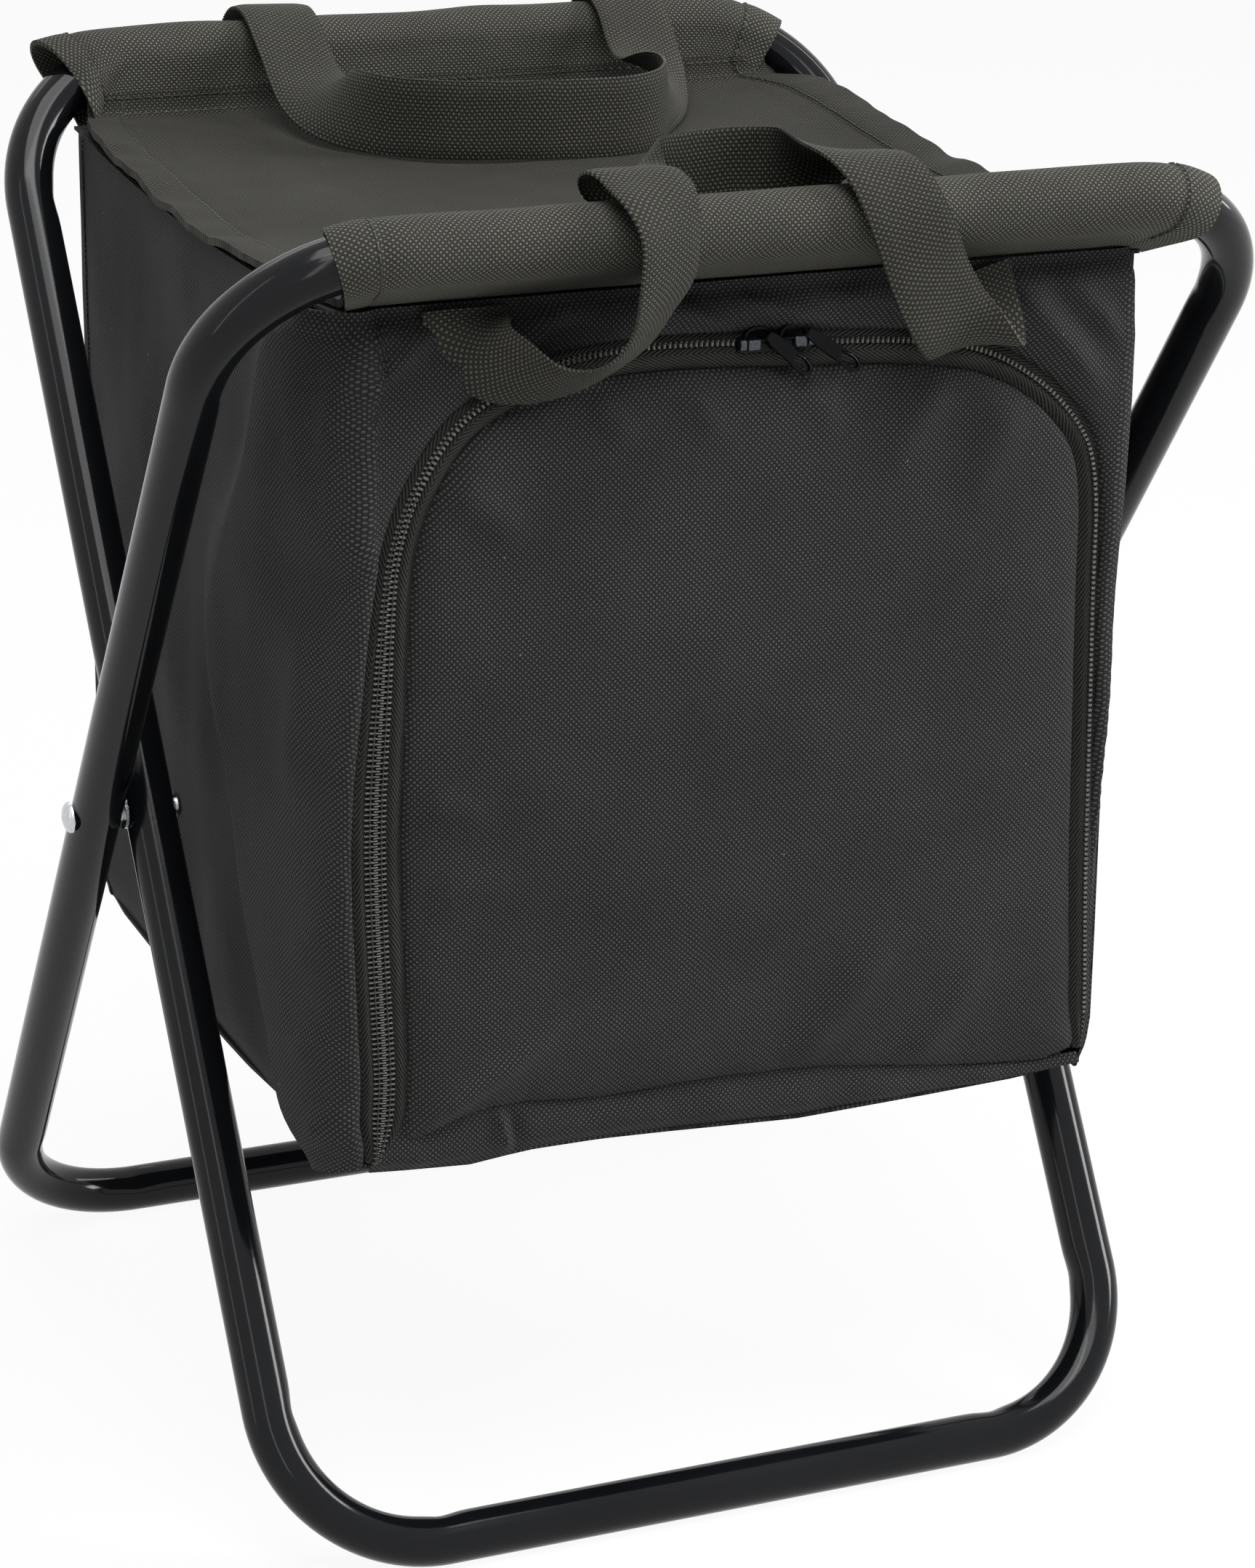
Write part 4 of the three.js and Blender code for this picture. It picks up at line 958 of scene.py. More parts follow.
# %% [markdown]
# ## The line of the zip
# The flap is a door in the bag's front. It hinges along its bottom seam, and one zip closes it,
# up the left, over the top and down the right. The whole front is laid out from the middle of
# that zip, so it comes first: a smooth curve through marks, and the same curve moved outwards
# or inwards. Low on the left the zip lies flat and shows its whole width. Further up the full
# flap rolls it over, until only the tips of the teeth show beside a wide round band.

# %% Zip line
front_face = -130.0  # Y of the bag's front
hinge_height = 146.0
zip_marks = [(-114.9, 137), (-113.3, 147), (-112.3, 162), (-112.6, 174), (-114.1, 207), (-114.8, 246),
             (-112.9, 279), (-110.2, 316), (-108.1, 327.5), (-103.6, 340), (-93.6, 356.4), (-84.7, 364.5),
             (-70.1, 372.1), (-53.1, 376.6), (-24.4, 378), (14.1, 375.7), (36.4, 374.5), (55.8, 372.4),
             (71.6, 369), (85, 362.7), (98.3, 352.7), (106.5, 343.2), (110.9, 334.8), (113.8, 319),
             (114.6, 298), (116.5, 254), (118.8, 202), (120.5, 174), (121.8, 149), (121.5, 139)]
zip_line = smooth_line(np.array(zip_marks, float), 420)
zip_ahead = unit(np.gradient(zip_line, axis=0))
zip_outwards = stack(-zip_ahead[:, 1], zip_ahead[:, 0])
zip_share = np.linspace(0, 1, len(zip_line))
zip_length = length_of(zip_line)
zip_run = zip_share * zip_length
foot_taper = 0.25 + 0.75 * ease(-2, 16, np.minimum(zip_share, 1 - zip_share) * zip_length)
rolled_over = ease(0.17, 0.38, zip_share)
bag_reach = foot_taper * (3.4 - 2.9 * rolled_over)  # from the middle to the tips of the teeth
flap_reach = foot_taper * (3.4 - 2.4 * rolled_over)
bag_band = foot_taper * np.interp(zip_share, (0, 0.15, 0.28), (2.8, 2.4, 0.7))
flap_band = foot_taper * np.interp(zip_share, (0, 0.1, 0.3, 0.37, 0.43, 0.6, 0.64, 0.68),
                                   (2.9, 3.4, 3.6, 4.2, 5.4, 5.0, 3.4, 2.7))
bag_edge, flap_edge = bag_reach + bag_band, flap_reach + flap_band
flap_stations = np.flatnonzero(zip_line[:, 1] > hinge_height + 4.5)
on_flap = slice(flap_stations[0], flap_stations[-1] + 1)
left_foot, right_foot = slice(0, flap_stations[0] + 1), slice(flap_stations[-1], None)


def zip_at(offset):
    return zip_line + zip_outwards * np.broadcast_to(offset, zip_share.shape)[:, None]


print("zip", round(zip_length), "mm long")

# %% [markdown]
# ## Zip
# A coil zip is two nylon springs, each sewn to a woven tape. Closed, the loops show as a
# ladder of thin bars that meet in the middle. Beside them the tape is folded into a round
# herringbone band. The bars of the two halves are separate pieces, because the flap's half
# leaves with the flap.

# %% Coil and bands
tooth_pitch = 1.63
tape_lift = 0.7  # how far the flat tape stands off the cloth
band_roundness = 0.42
wire = 0.58  # thickness of the nylon
tooth_profile = [(-1, 0.45), (-0.85, 0.95), (0, 0.8), (0.8, 1.15), (1, 0.5)]
coil_depth = front_face - 1.5
knot_size = (1.55, 0.55, 0.8)


def coil(name, side, part, body, late):
    """The bars of one half. side is 1 for the bag's half, -1 for the flap's."""
    at = np.arange(tooth_pitch * (0.3 + 0.5 * late), zip_length, tooth_pitch)
    at = at[(at > zip_run[part][0]) & (at < zip_run[part][-1])]
    places = places_at(at, zip_run, zip_line)
    away = side * unit(places_at(at, zip_run, zip_outwards))
    far = np.interp(at, zip_run, bag_reach if side > 0 else flap_reach)
    near = -0.2 * far  # the two halves overlap in the middle
    over = np.interp(at, zip_run, rolled_over)
    depth = coil_depth + over * (0.7 if side > 0 else -0.7)
    spots = places + away * ((near + far) / 2)[:, None]
    spots = upright(spots, depth)
    bars = upright(away, 0.12)
    size = stack(far - near, wire + 0.42 * over, wire * 1.5 + 0.3 * over)
    teeth = strew(name + "_teeth", spots, bars, np.array([0, -1, 0]), size, nylon, profile=tooth_profile)
    # the stitches that hold the wire to its tape lie across the bars, where the coil shows its width
    flat = over < 0.8
    knots = places + away * (0.52 * far)[:, None]
    knots = upright(knots, depth - 0.22)[flat]
    lay = stack(away[:, 1], 0 * at, -away[:, 0])[flat]
    sewn = strew(name + "_stitches", knots, lay, np.array([0, -1, 0]), knot_size, thread)
    for piece in (teeth, sewn):
        settle(piece, body, slot="zip_coil")
    return teeth


def band(name, side, part, body):
    """One tape: flat under the coil, then folded into a rounded band, then down under the cloth."""
    reach, width = (bag_reach, bag_band) if side > 0 else (flap_reach, flap_band)
    reach, width = reach[:, None], width[:, None]
    folded = np.linspace(0, 1, 15)
    offset = np.concatenate([reach * (0.05, 0.35, 0.7), reach + folded * width, reach + width + 1.4], 1)
    height = band_roundness * width * np.sin(np.pi * (0.05 + 0.9 * folded)) ** 0.6
    proud = np.concatenate([reach * (0, 0, 0) + tape_lift, tape_lift + height, reach * 0 + 0.15], 1)
    along = zip_run[:, None]
    ripple = bumpy(stack(along, offset * side * 0.4), 9, 0.35, side)
    spots = zip_line[:, None] + zip_outwards[:, None] * (side * offset)[..., None]
    top = upright(spots, front_face - proud - ripple * (proud > 1))
    # the herringbone turns in the middle of a round band, and past the edge of a flat one
    turn_at = reach + width * 0.5 + (width * 0.5 + 1.5) * (1 - rolled_over[:, None])
    cloth = stack(offset - turn_at, np.broadcast_to(along, offset.shape))
    top, cloth = top[part], cloth[part]
    tape = layered(name, top, top + (0, 0.6, 0), zip_tape, cloth)
    settle(tape, body, slot="zip_tape")
    return tape


whole = slice(None)
bag_coil = coil("bag_coil", 1, whole, "bag_front", 0)
flap_coil = coil("flap_coil", -1, on_flap, "flap", 1)
bag_tape = band("bag_zip_band", 1, whole, "bag_front")
flap_tape = band("flap_zip_band", -1, on_flap, "flap")
coil("left_foot_coil", -1, left_foot, "bag_front", 1)
band("left_foot_band", -1, left_foot, "bag_front")
band("right_foot_band", -1, right_foot, "bag_front")
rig.replaces(bag_coil, "bag_zip_coil")
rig.replaces(flap_coil, "flap_zip_coil")
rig.replaces(bag_tape, "bag_zip_tape")
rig.replaces(flap_tape, "flap_zip_tape")

# %% [markdown]
# ## Creases
# Canvas doesn't wrinkle at random: folds start where it is held, at a handle's stitches or the
# end of the zip, and fade out over a few centimetres. Each is one line with a width and a
# height, and a slow noise fills the rest.

# %% Creases
crease_depth = 1.6  # all the heights below are times this


def crease(flat, start, end, width, height):
    """A soft fold from start to end on the flat cloth, that fades out towards both ends."""
    start, end = np.array(start, float), np.array(end, float)
    line = end - start
    share = ((flat - start) @ line) / (line @ line)
    aside = (flat[..., 0] - start[0]) * line[1] - (flat[..., 1] - start[1]) * line[0]
    fade = ease(-0.1, 0.25, share) * (1 - ease(0.6, 1.1, share))
    return height * fade * hump(aside / np.linalg.norm(line), width)


def creased(flat, folds):
    return crease_depth * sum(crease(flat, *fold) for fold in folds)


def cut_from(flat, closed=False):
    """The size of the cloth a net is cut from: width and length, and its area."""
    flat = np.concatenate([flat, flat[:, :1]], 1) if closed else flat
    p, q = flat[1:, 1:] - flat[:-1, :-1], flat[1:, :-1] - flat[:-1, 1:]
    area = np.abs(p[..., 0] * q[..., 1] - p[..., 1] * q[..., 0]).sum() / 2
    width, length = np.ptp(flat.reshape(-1, 2), axis=0)
    print("cut", round(width), "by", round(length), "mm, share used", round(area / width / length, 2))
    return dict(flat=(float(width) * MM, float(length) * MM), area=float(area) * MM ** 2)


print("creases ready")

# %% [markdown]
# ## Front of the bag
# The cloth round the zip is a frame cut from one piece. On the left it doesn't stop at a
# corner: it rolls round to the side in one broad soft curve, with its ridge further back at
# mid height than at the top. So the frame is laid out flat first, then each point is wrapped
# on a curve that depends on its height.

# %% The roll on the left
ridge_marks = [(130, -112, -126.5), (136, -111, -128.5), (146, -100, -132), (169, -90, -133),
               (193, -73, -133), (233, -58, -133), (256, -44, -133), (279, -38, -133), (307, -50, -133),
               (347, -79, -133), (383, -98, -133), (392, -119, -133), (396, -122, -132.5)]
ridge_z, ridge_y, ridge_x = smooth_line(ridge_marks, 300).T
left_leg = zip_at(bag_edge)[zip_share < 0.3]
left_leg = left_leg[left_leg[:, 1] < 318]
roll_from_z = np.concatenate([left_leg[:, 1], [330, 396]])
roll_from_x = np.concatenate([left_leg[:, 0], [-116, -114]])
right_edge_z = (132, 148, 178, 222, 279, 347, 393)
right_edge_x = (124.3, 126.0, 125.4, 124.2, 123.0, 123.5, 122.8)


def ridge_at(z):
    """X and Y of the roll's ridge at that height."""
    return np.interp(z, ridge_z, ridge_x), np.interp(z, ridge_z, ridge_y)


def wrapped(flat):
    """Places on the bag of points (X, Z) of the flat frame, and the flat X of the ridge there."""
    x, z = flat[..., 0], flat[..., 1]
    start = np.interp(z, roll_from_z, roll_from_x)
    far_x, far_y = ridge_at(z)
    low = 1 - ease(131, 150, z)
    near = stack(start, -130.6 + 2.5 * low)
    hold = stack(start - 6.5 + 2 * low, -137.5 + 8 * low)
    turn = stack(far_x - 0.8 + 1.5 * low, -131 + 0.42 * (far_y + 131))
    ridge = stack(far_x, far_y)
    t = np.linspace(0, 1, 40)[:, None]
    curve = (near[..., None, :] * (1 - t) ** 3 + 3 * hold[..., None, :] * t * (1 - t) ** 2
             + 3 * turn[..., None, :] * t ** 2 * (1 - t) + ridge[..., None, :] * t ** 3)
    run = np.cumsum(lengths(np.diff(curve, axis=-2)), -1)
    run = np.concatenate([np.zeros(z.shape + (1,)), run], -1)
    reach = np.clip(start - x, 0, None)
    k = np.clip((run < reach[..., None]).sum(-1), 1, 39)[..., None]
    a, b = np.take_along_axis(run, k - 1, -1)[..., 0], np.take_along_axis(run, k, -1)[..., 0]
    share = ((reach - a) / np.maximum(b - a, 1e-6))[..., None]
    before = np.take_along_axis(curve, k[..., None] - 1, -2)[..., 0, :]
    after = np.take_along_axis(curve, k[..., None], -2)[..., 0, :]
    rolled = mix(before, after, share)
    edge = np.interp(z, right_edge_z, right_edge_x)
    flat_y = -130.6 + 2.5 * low + 2.6 * ease(-5, 0.5, x - edge)
    place = np.where((x < start)[..., None], rolled, stack(x, flat_y))
    return stack(place[..., 0], place[..., 1], z), start - run[..., -1]


print("the roll starts at X", [round(x) for x in roll_from_x[::20]])

# %% Frame of cloth round the zip
frame_stations, frame_rings = 300, 56
surround_top = 394.6
stations = np.linspace(0, len(zip_line) - 1, frame_stations).round().astype(int)
inner_line = zip_at(bag_edge)[stations]
left_z = np.linspace(131.5, surround_top, 120)
left_line = stack(wrapped(stack(np.zeros(120), left_z))[1], left_z)
right_z = np.linspace(surround_top, 132, 110)
right_line = stack(np.interp(right_z, right_edge_z, right_edge_x), right_z)
share = np.linspace(0, 1, frame_stations)
left_corner, right_corner = 0.345, 0.655
outer_line = np.zeros((frame_stations, 2))
on_left, on_right = share < left_corner, share > right_corner
on_top = ~on_left & ~on_right
up_left = share[on_left] / left_corner
outer_line[on_left] = places_at(up_left, np.linspace(0, 1, 120), left_line)
outer_line[on_top, 0] = np.interp(share[on_top], (left_corner, right_corner),
                                  (left_line[-1, 0], right_line[0, 0]))
outer_line[on_top, 1] = surround_top
down_right = (share[on_right] - right_corner) / (1 - right_corner)
outer_line[on_right] = places_at(down_right, np.linspace(0, 1, 110), right_line)
outer_line[on_right, 0] = np.maximum(outer_line[on_right, 0], inner_line[on_right, 0] + 0.6)

rings = np.linspace(0, 1, frame_rings)[:, None] ** 1.25
frame_flat = mix(inner_line, outer_line, rings[..., None])
from_zip, outside = lengths(frame_flat - inner_line), lengths(frame_flat - outer_line)
from_top = np.clip(surround_top - frame_flat[..., 1], 0, None)
surround_base = wrapped(frame_flat)[0]
surround_normals = net_normals(surround_base)
middle_ring = surround_normals[frame_rings // 2, frame_stations // 2]
surround_normals = surround_normals * -np.sign(middle_ring[1])
surround_folds = [((-96, 390), (-118, 372), 3.2, 2.0), ((-84, 390), (-92, 372), 2.6, 1.7),
                  ((-60, 391), (-72, 378), 3.0, 1.6), ((-30, 391), (-8, 381), 2.6, 1.3),
                  ((-6, 392), (22, 380), 2.8, 1.5), ((24, 392), (52, 379), 3.0, 1.7),
                  ((48, 392), (78, 374), 3.0, 1.7), ((78, 391), (114, 352), 4.5, 2.2),
                  ((96, 391), (120, 366), 3.5, 1.6), ((70, 390), (60, 379), 2.4, 1.3),
                  ((-118, 388), (-128, 350), 5.0, 1.8), ((-136, 300), (-150, 240), 9, 1.6),
                  ((-126, 215), (-150, 196), 5, 0.9), ((-126, 178), (-146, 168), 4, 0.9),
                  ((-124, 158), (-140, 142), 4, 1.0)]
handle_ends = sum(hump(np.abs(frame_flat[..., 0] - x), 15, 3) for x in (-86, 66))
pressed = handle_ends * ease(372, 388, frame_flat[..., 1])
puff, puff_reach = 3.4, 4.5  # the rolled edge beside the zip: its height and its reach
seam_valley = 2.4  # how deep the seam beside the zip is
puffed = puff * (1 - 0.85 * pressed) * (1 - np.exp(-from_zip / puff_reach))
puffed = puffed - seam_valley * hump(from_zip, 2.0)
puffed = puffed * ease(0, 9, from_top) * ease(0, 6, outside + 2 * on_left)
wrinkled = creased(frame_flat, surround_folds)
wrinkled = wrinkled + bumpy(frame_flat, 38, 1.1, 6.0) + bumpy(frame_flat * (1, 0.5), 13, 0.35, 8.0)
held = ease(0, 5, from_zip) * ease(0, 5, from_top) * (1 - 0.7 * pressed) * ease(0, 8, outside)
narrow = ease(1, 9, lengths(inner_line - outer_line))
surround_skin = surround_base + surround_normals * ((puffed + wrinkled * held) * narrow)[..., None]
surround_under = surround_skin - surround_normals * 1.0
surround = layered("bag_front_cloth", surround_skin, surround_under, canvas, frame_flat)
settle(surround, "bag_front", "bag_front_surround", "bag_cloth")
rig.squash(surround, "frame_fold", axis=(0, 1, 0), anchor=(0, -0.130, 0), keep=0.122)
# the frame is a bent strip, so its length is taken along the middle of the strip
strip_length = length_of((inner_line + outer_line) / 2) * MM
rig.sheet(surround, flat=(float(from_zip.max()) * MM, float(strip_length)),
         area=cut_from(frame_flat)["area"], held="stretched", rests_on=["bag_left_panel", "bag_right_panel"])

# %% [markdown]
# ## Sides and back
# The sides hang from the seat's hems and bow out a little over what the bag holds. They are
# nets over height and depth. The back is one panel whose corners turn forward and lap over
# the sides, as the seams there do.

# %% Sides
wall_fold = dict(axis=(0, 1, 0), anchor=(0, 0, 0), keep=0.122)
wall_bow = 2.2  # how far the middle of a side bows out
wall_tuck = 2.0  # how far its bottom edge turns in
left_low_y = (-122, -112, -106, -91, -73, -39, -13, 118)
left_low_z = (131.5, 131, 129.5, 131, 132.5, 131, 130.5, 131)


def wall(name, rows, columns, front_of, x_of, low_of, node, seed):
    """A side from front_of its height to the back, and from low_of its depth up to the seat."""
    u, v = np.meshgrid(np.linspace(0, 1, columns), np.linspace(0, 1, rows))
    z = 131 + v * 260
    for _ in range(3):  # front and low depend on each other, and settle in three rounds
        front = front_of(z)
        y = front + u * (118.3 - front)
        low, high = low_of(y), seat_height(np.clip(y, -128, 128)) - 2.2
        z = low + v * (high - low)
    flat = stack(y, z)
    bow = wall_bow * np.sin(np.pi * u) ** 0.8 * np.sin(np.pi * v) ** 0.7
    loose = inside(u, 0.12, 0.1) * inside(v, 0.08, 0.08)
    bow = bow + loose * (bumpy(flat, 55, 2.4, seed) + bumpy(flat * (1, 0.4), 20, 0.8, seed))
    tuck = wall_tuck * (1 - ease(0, 9, z - low))
    x, outwards = x_of(y, z)
    skin = stack(x + outwards * (bow - tuck), y, z)
    under = skin - (outwards * 1.1, 0, 0)
    piece = layered(name, skin, under, canvas, flat)
    settle(piece, "cooler_bag", node, "bag_cloth")
    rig.squash(piece, "frame_fold", **wall_fold)
    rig.sheet(piece, **cut_from(flat), held="hung", rests_on=["seat_cloth"])


def left_x(y, z):
    ridge, start = ridge_at(z)
    return -124.8 + (ridge + 124.8) * hump(np.clip(y - start, 0, None), 17), -1


def right_x(y, z):
    edge = np.interp(z, right_edge_z, right_edge_x)
    return edge + (124.8 - edge) * ease(-128, -90, y), 1


wall("bag_left_cloth", 80, 90, lambda z: ridge_at(z)[1] - 0.6, left_x,
     lambda y: np.interp(y, left_low_y, left_low_z), "bag_left_panel", 3.0)
wall("bag_right_cloth", 80, 90, lambda z: np.full(z.shape, -128.4), right_x,
     lambda y: np.full(y.shape, 131.5), "bag_right_panel", 11.0)

# %% Back
corner_turn = np.linspace(0, np.pi / 2, 14)
corner = stack(-113.4 - 12 * np.cos(corner_turn), 118 + 12 * np.sin(corner_turn))
straight = stack(np.linspace(-113.4, 113.4, 80)[1:-1], np.full(78, 130.0))
back_line = np.concatenate([[(-125.4, 116.5)], corner, straight, corner[::-1] * (-1, 1), [(125.4, 116.5)]])
back_run = run_along(back_line)
back_u, back_v = np.meshgrid(back_run / back_run[-1], np.linspace(0, 1, 80))
back_low, back_high = 131.3, 394.3
back_drop = 1.6 * np.clip(np.abs(back_line[:, 0]) - 117, 0, 9) / 8
back_z = back_low + back_v * (back_high - back_low - back_drop)
back_flat = stack(back_u * back_run[-1], back_z)
back_base = stack(*back_line.T, back_z)
back_out = net_normals(back_base)
back_out = back_out * np.sign(back_out[40, 50, 1])
back_bow = wall_bow * np.sin(np.pi * back_u) ** 0.6 * np.sin(np.pi * back_v) ** 0.6
back_loose = inside(back_u, 0.06, 0.06) * inside(back_v, 0.08, 0.08)
back_bumps = bumpy(back_flat, 60, 1.4, 21.0) + bumpy(back_flat * (0.45, 1), 22, 0.6, 17.0)
back_bow = back_bow + back_loose * back_bumps - wall_tuck * (1 - ease(0, 9, back_z - back_low))
back_skin = back_base + back_out * back_bow[..., None]
back = layered("bag_back_cloth", back_skin, back_skin - back_out * 1.1, canvas, back_flat)
settle(back, "bag_back", "bag_back_panel", "bag_cloth")
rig.sheet(back, **cut_from(back_flat), held="hung", rests_on=["seat_cloth"])

# %% Base and top
base_line = np.array([
    (0, -129), (60, -129), (110, -129), (120, -128), (123.3, -123), (124.2, -90), (124, 0), (124, 100),
    (122.5, 118), (115, 126.5), (100, 128.5), (0, 128.5), (-100, 128.5), (-115, 126.5), (-122.5, 118),
    (-124, 100), (-124.5, -12), (-124, -36), (-122.6, -65), (-124, -88), (-126, -111), (-123.5, -119.5),
    (-118, -124), (-106, -126.5), (-60, -128.5), (0, -129)], float)
base_ring = evened(base_line, 200, endpoint=False)
bottom_x = (-127, -105, -84, -63, -42, -20, 24, 69, 100, 121)
bottom_z = (134, 132, 130.5, 132.5, 132.5, 131.5, 129, 130, 131, 133)
base_level = 131.2
rim_x, rim_y = base_ring.T
rim_z = np.where(rim_y < -118, np.interp(rim_x, bottom_x, bottom_z), 131.5)
rim_z = np.where((rim_x < -100) & (rim_y >= -118), np.interp(rim_y, left_low_y, left_low_z), rim_z)
inwards = np.linspace(1, 0.02, 34)[:, None]
base_flat = base_ring[None] * inwards[..., None]
base_z = base_level + (rim_z - base_level) * ease(0.55, 1, inwards) - 2.4 * (1 - ease(0.1, 1.0, inwards))
base_z = base_z + ease(0, 0.3, 1 - inwards) * bumpy(base_flat, 45, 1.6, 2.0)
base_skin = stack(base_flat[..., 0], base_flat[..., 1], base_z)
base = layered("bag_base_cloth", base_skin, base_skin + (0, 0, 1.2), canvas, base_flat, round_columns=True)
lid_u, lid_v = np.meshgrid(np.linspace(-124, 124, 40), np.linspace(-129.5, 129.5, 60))
lid_skin = stack(lid_u, lid_v, seat_height(np.clip(lid_v, -128, 128)) - 2.6)
lid = layered("bag_top_cloth", lid_skin, lid_skin - (0, 0, 1.0), canvas, lid_skin[..., :2])
for piece, node, flat, closed in ((base, "bag_bottom_panel", base_flat, True),
                                  (lid, "bag_top_panel", lid_skin[..., :2], False)):
    settle(piece, "cooler_bag", node, "bag_cloth")
    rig.squash(piece, "frame_fold", **wall_fold)
    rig.sheet(piece, **cut_from(flat, closed), held="stretched",
             rests_on=["bag_left_cloth", "bag_right_cloth"])

# %% [markdown]
# ## Flap
# The flap is canvas over thin foam, so its edges are rolled and its middle is nearly flat. It
# is laid out as rings from its outline to its middle, with a rolled edge, a slow swell and a
# few creases. The strip below it joins the hinge seam to the bag's bottom edge, and has one
# pleat.

# %% Flap
flap_middle = np.array([0.0, 255.0])
seam_marks = [(-107, 141), (-96, 144), (-78, 149), (-49, 147), (-21, 147), (22, 146), (48, 143),
              (90, 137.5), (112, 136)]
seam_line = smooth_line(seam_marks, 160)
edge_line = zip_at(-flap_edge - 0.5)
edge_line = edge_line[edge_line[:, 1] > np.interp(edge_line[:, 0], *seam_line.T) + 2.5]
outline = np.concatenate([edge_line, seam_line[::-1][2:-2], edge_line[:1]])
flap_ring = evened(outline, 300, endpoint=False)
flap_in = (1 - np.linspace(0, 1, 60) ** 1.45 * 0.9995)[:, None]
flap_flat = flap_middle + (flap_ring - flap_middle)[None] * flap_in[..., None]
from_edge = np.array([lengths(row[:, None] - flap_ring[None]).min(1) for row in flap_flat])
flap_folds = [((-100, 148), (-56, 176), 4, 1.5), ((20, 150), (52, 192), 7, 1.8),
              ((60, 144), (84, 180), 6, 1.3), ((-92, 345), (-70, 325), 6, 1.3),
              ((60, 362), (40, 335), 6, 1.2), ((84, 352), (66, 322), 7, 1.5),
              ((-20, 366), (-12, 350), 4, 0.9), ((14, 366), (26, 348), 4, 0.8),
              ((-50, 366), (-38, 350), 4, 0.9), ((-101, 250), (-80, 244), 5, 0.8),
              ((-99, 220), (-72, 226), 6, 0.9), ((96, 300), (74, 290), 6, 0.8)]
edge_rise, edge_roll = 3.2, 4.2  # the rolled edge: its height and its reach
foam_rise, foam_reach = 3.0, 16.0
edge_press = 1.5  # how deep the zip's seam pulls the edge in
belly = 1.6
rolled_edge = edge_rise * (1 - np.exp(-from_edge / edge_roll))
rolled_edge = rolled_edge + foam_rise * (1 - np.exp(-from_edge / foam_reach))
swell = rolled_edge - edge_press * hump(from_edge, 1.5) + belly * ease(0, 90, from_edge)
wrinkles = creased(flap_flat, flap_folds) + bumpy(flap_flat, 60, 1.5, 1.0) + bumpy(flap_flat, 22, 0.4, 6.0)
ripples = np.exp(-from_edge / 7) * bumpy(flap_flat, 9, 0.8, 4.0)
swell = swell + ease(0, 7, from_edge) * wrinkles + ripples * ease(0, 3, from_edge)
flap_skin = upright(flap_flat, front_face - 0.2 - swell)
flap_back = upright(flap_flat, front_face + 0.6 - 0.5 * ease(0, 20, from_edge))
flap = layered("flap_cloth", flap_skin, flap_back, canvas, flap_flat, round_columns=True)
film = flap_back[4:]  # the lining stops a little short of the edge
flap_foil = layered("flap_foil", film + (0, 0.15, 0), film + (0, 1.6, 0), foil, flap_flat[4:],
                    round_columns=True)
settle(flap, "flap", "flap_panel", "bag_cloth")
settle(flap_foil, "flap", "flap_lining", "foil_lining")
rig.padded(flap, fill=0.3)
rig.sheet(flap_foil, **cut_from(flap_flat[4:], True), held="laid", rests_on=["flap_cloth"])

# %% Strip under the flap
strip_x = np.linspace(-116, 121, 180)
seam_ends = np.concatenate([[(-119, 139)], seam_line, [(122, 136)]])
strip_top = np.interp(strip_x, *seam_ends.T) + 1.2
strip_low = np.interp(strip_x, bottom_x, bottom_z)
strip_top = strip_top + 5 * ease(-100, -106, strip_x)  # a corner that goes on behind the zip's foot
strip_low = np.minimum(strip_low, strip_top - 2.5)
strip_v = np.linspace(0, 1, 26)[:, None]
strip_z = mix(strip_low, strip_top, strip_v)
strip_flat = stack(strip_x, strip_z)
from_pleat = strip_x + 0.25 * (strip_z - 140)  # the pleat leans to the left as it rises
pleat = 2.2 * hump(from_pleat + 74, 1.8) - 1.6 * hump(from_pleat + 70, 2.6)
full = np.sin(np.pi * strip_v)
strip_swell = 1.6 * full + full * (pleat + bumpy(strip_flat * (1, 0.5), 16, 1.1, 3.0))
strip_y = front_face - 0.2 - strip_swell + 2.2 * (1 - ease(0, 0.35, strip_v))
strip_skin = upright(strip_flat, strip_y)
strip = layered("bag_front_strip", strip_skin, strip_skin + (0, 1.0, 0), canvas, strip_flat)
settle(strip, "bag_front", slot="bag_cloth")
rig.sheet(strip, **cut_from(strip_flat), held="hung", rests_on=["bag_base_cloth"])

# %% [markdown]
# ## Foil lining
# Inside, the bag is lined with aluminised film over foam, open towards the flap. It is one
# tub: rings of a rounded rectangle from the front to the back, closed at the back, with a
# flange at the front that reaches in to the zip.

# %% Lining
turns = np.linspace(0, 2 * np.pi, 160, endpoint=False)


def tub_ring(half_x, low, high, y, power=9):
    c, s = np.cos(turns), np.sin(turns)
    reach = (np.abs(c) ** power + np.abs(s) ** power) ** (-1 / power)
    return stack(half_x * c * reach, float(y), (low + high) / 2 + (high - low) / 2 * s * reach)


opening = np.concatenate([zip_at(1.0)[on_flap], seam_line[::-1] - (0, 1.5)])
opening_reach = reach_round(opening - flap_middle, turns)
mouth = stack(flap_middle[0] + opening_reach * np.cos(turns), -128.9,
              flap_middle[1] + opening_reach * np.sin(turns))
tub = [mouth, mouth * (1, 0, 1) + (0, -127.6, 0)]
tub += [tub_ring(121.5, 135, seat_height(min(abs(y), 128)) - 5.5, y) for y in np.linspace(-126.5, 110, 44)]
flat_back = len(tub)
last = tub[-1]
tub += [np.array([0, 113, 262]) + (last - (0, 110, 262)) * (k, 0, k) for k in np.linspace(0.985, 0.001, 24)]
tub = np.array(tub)
tub_out = net_normals(tub, round_columns=True)
tub_out = tub_out * -np.sign(tub_out[20, 0, 0])
crumple = bumpy(tub * (1, 0.6, 1), 26, 1.3, 5.0) * ease(0, 4, np.arange(len(tub)) - 2)[:, None]
tub_skin = tub + tub_out * crumple[..., None]
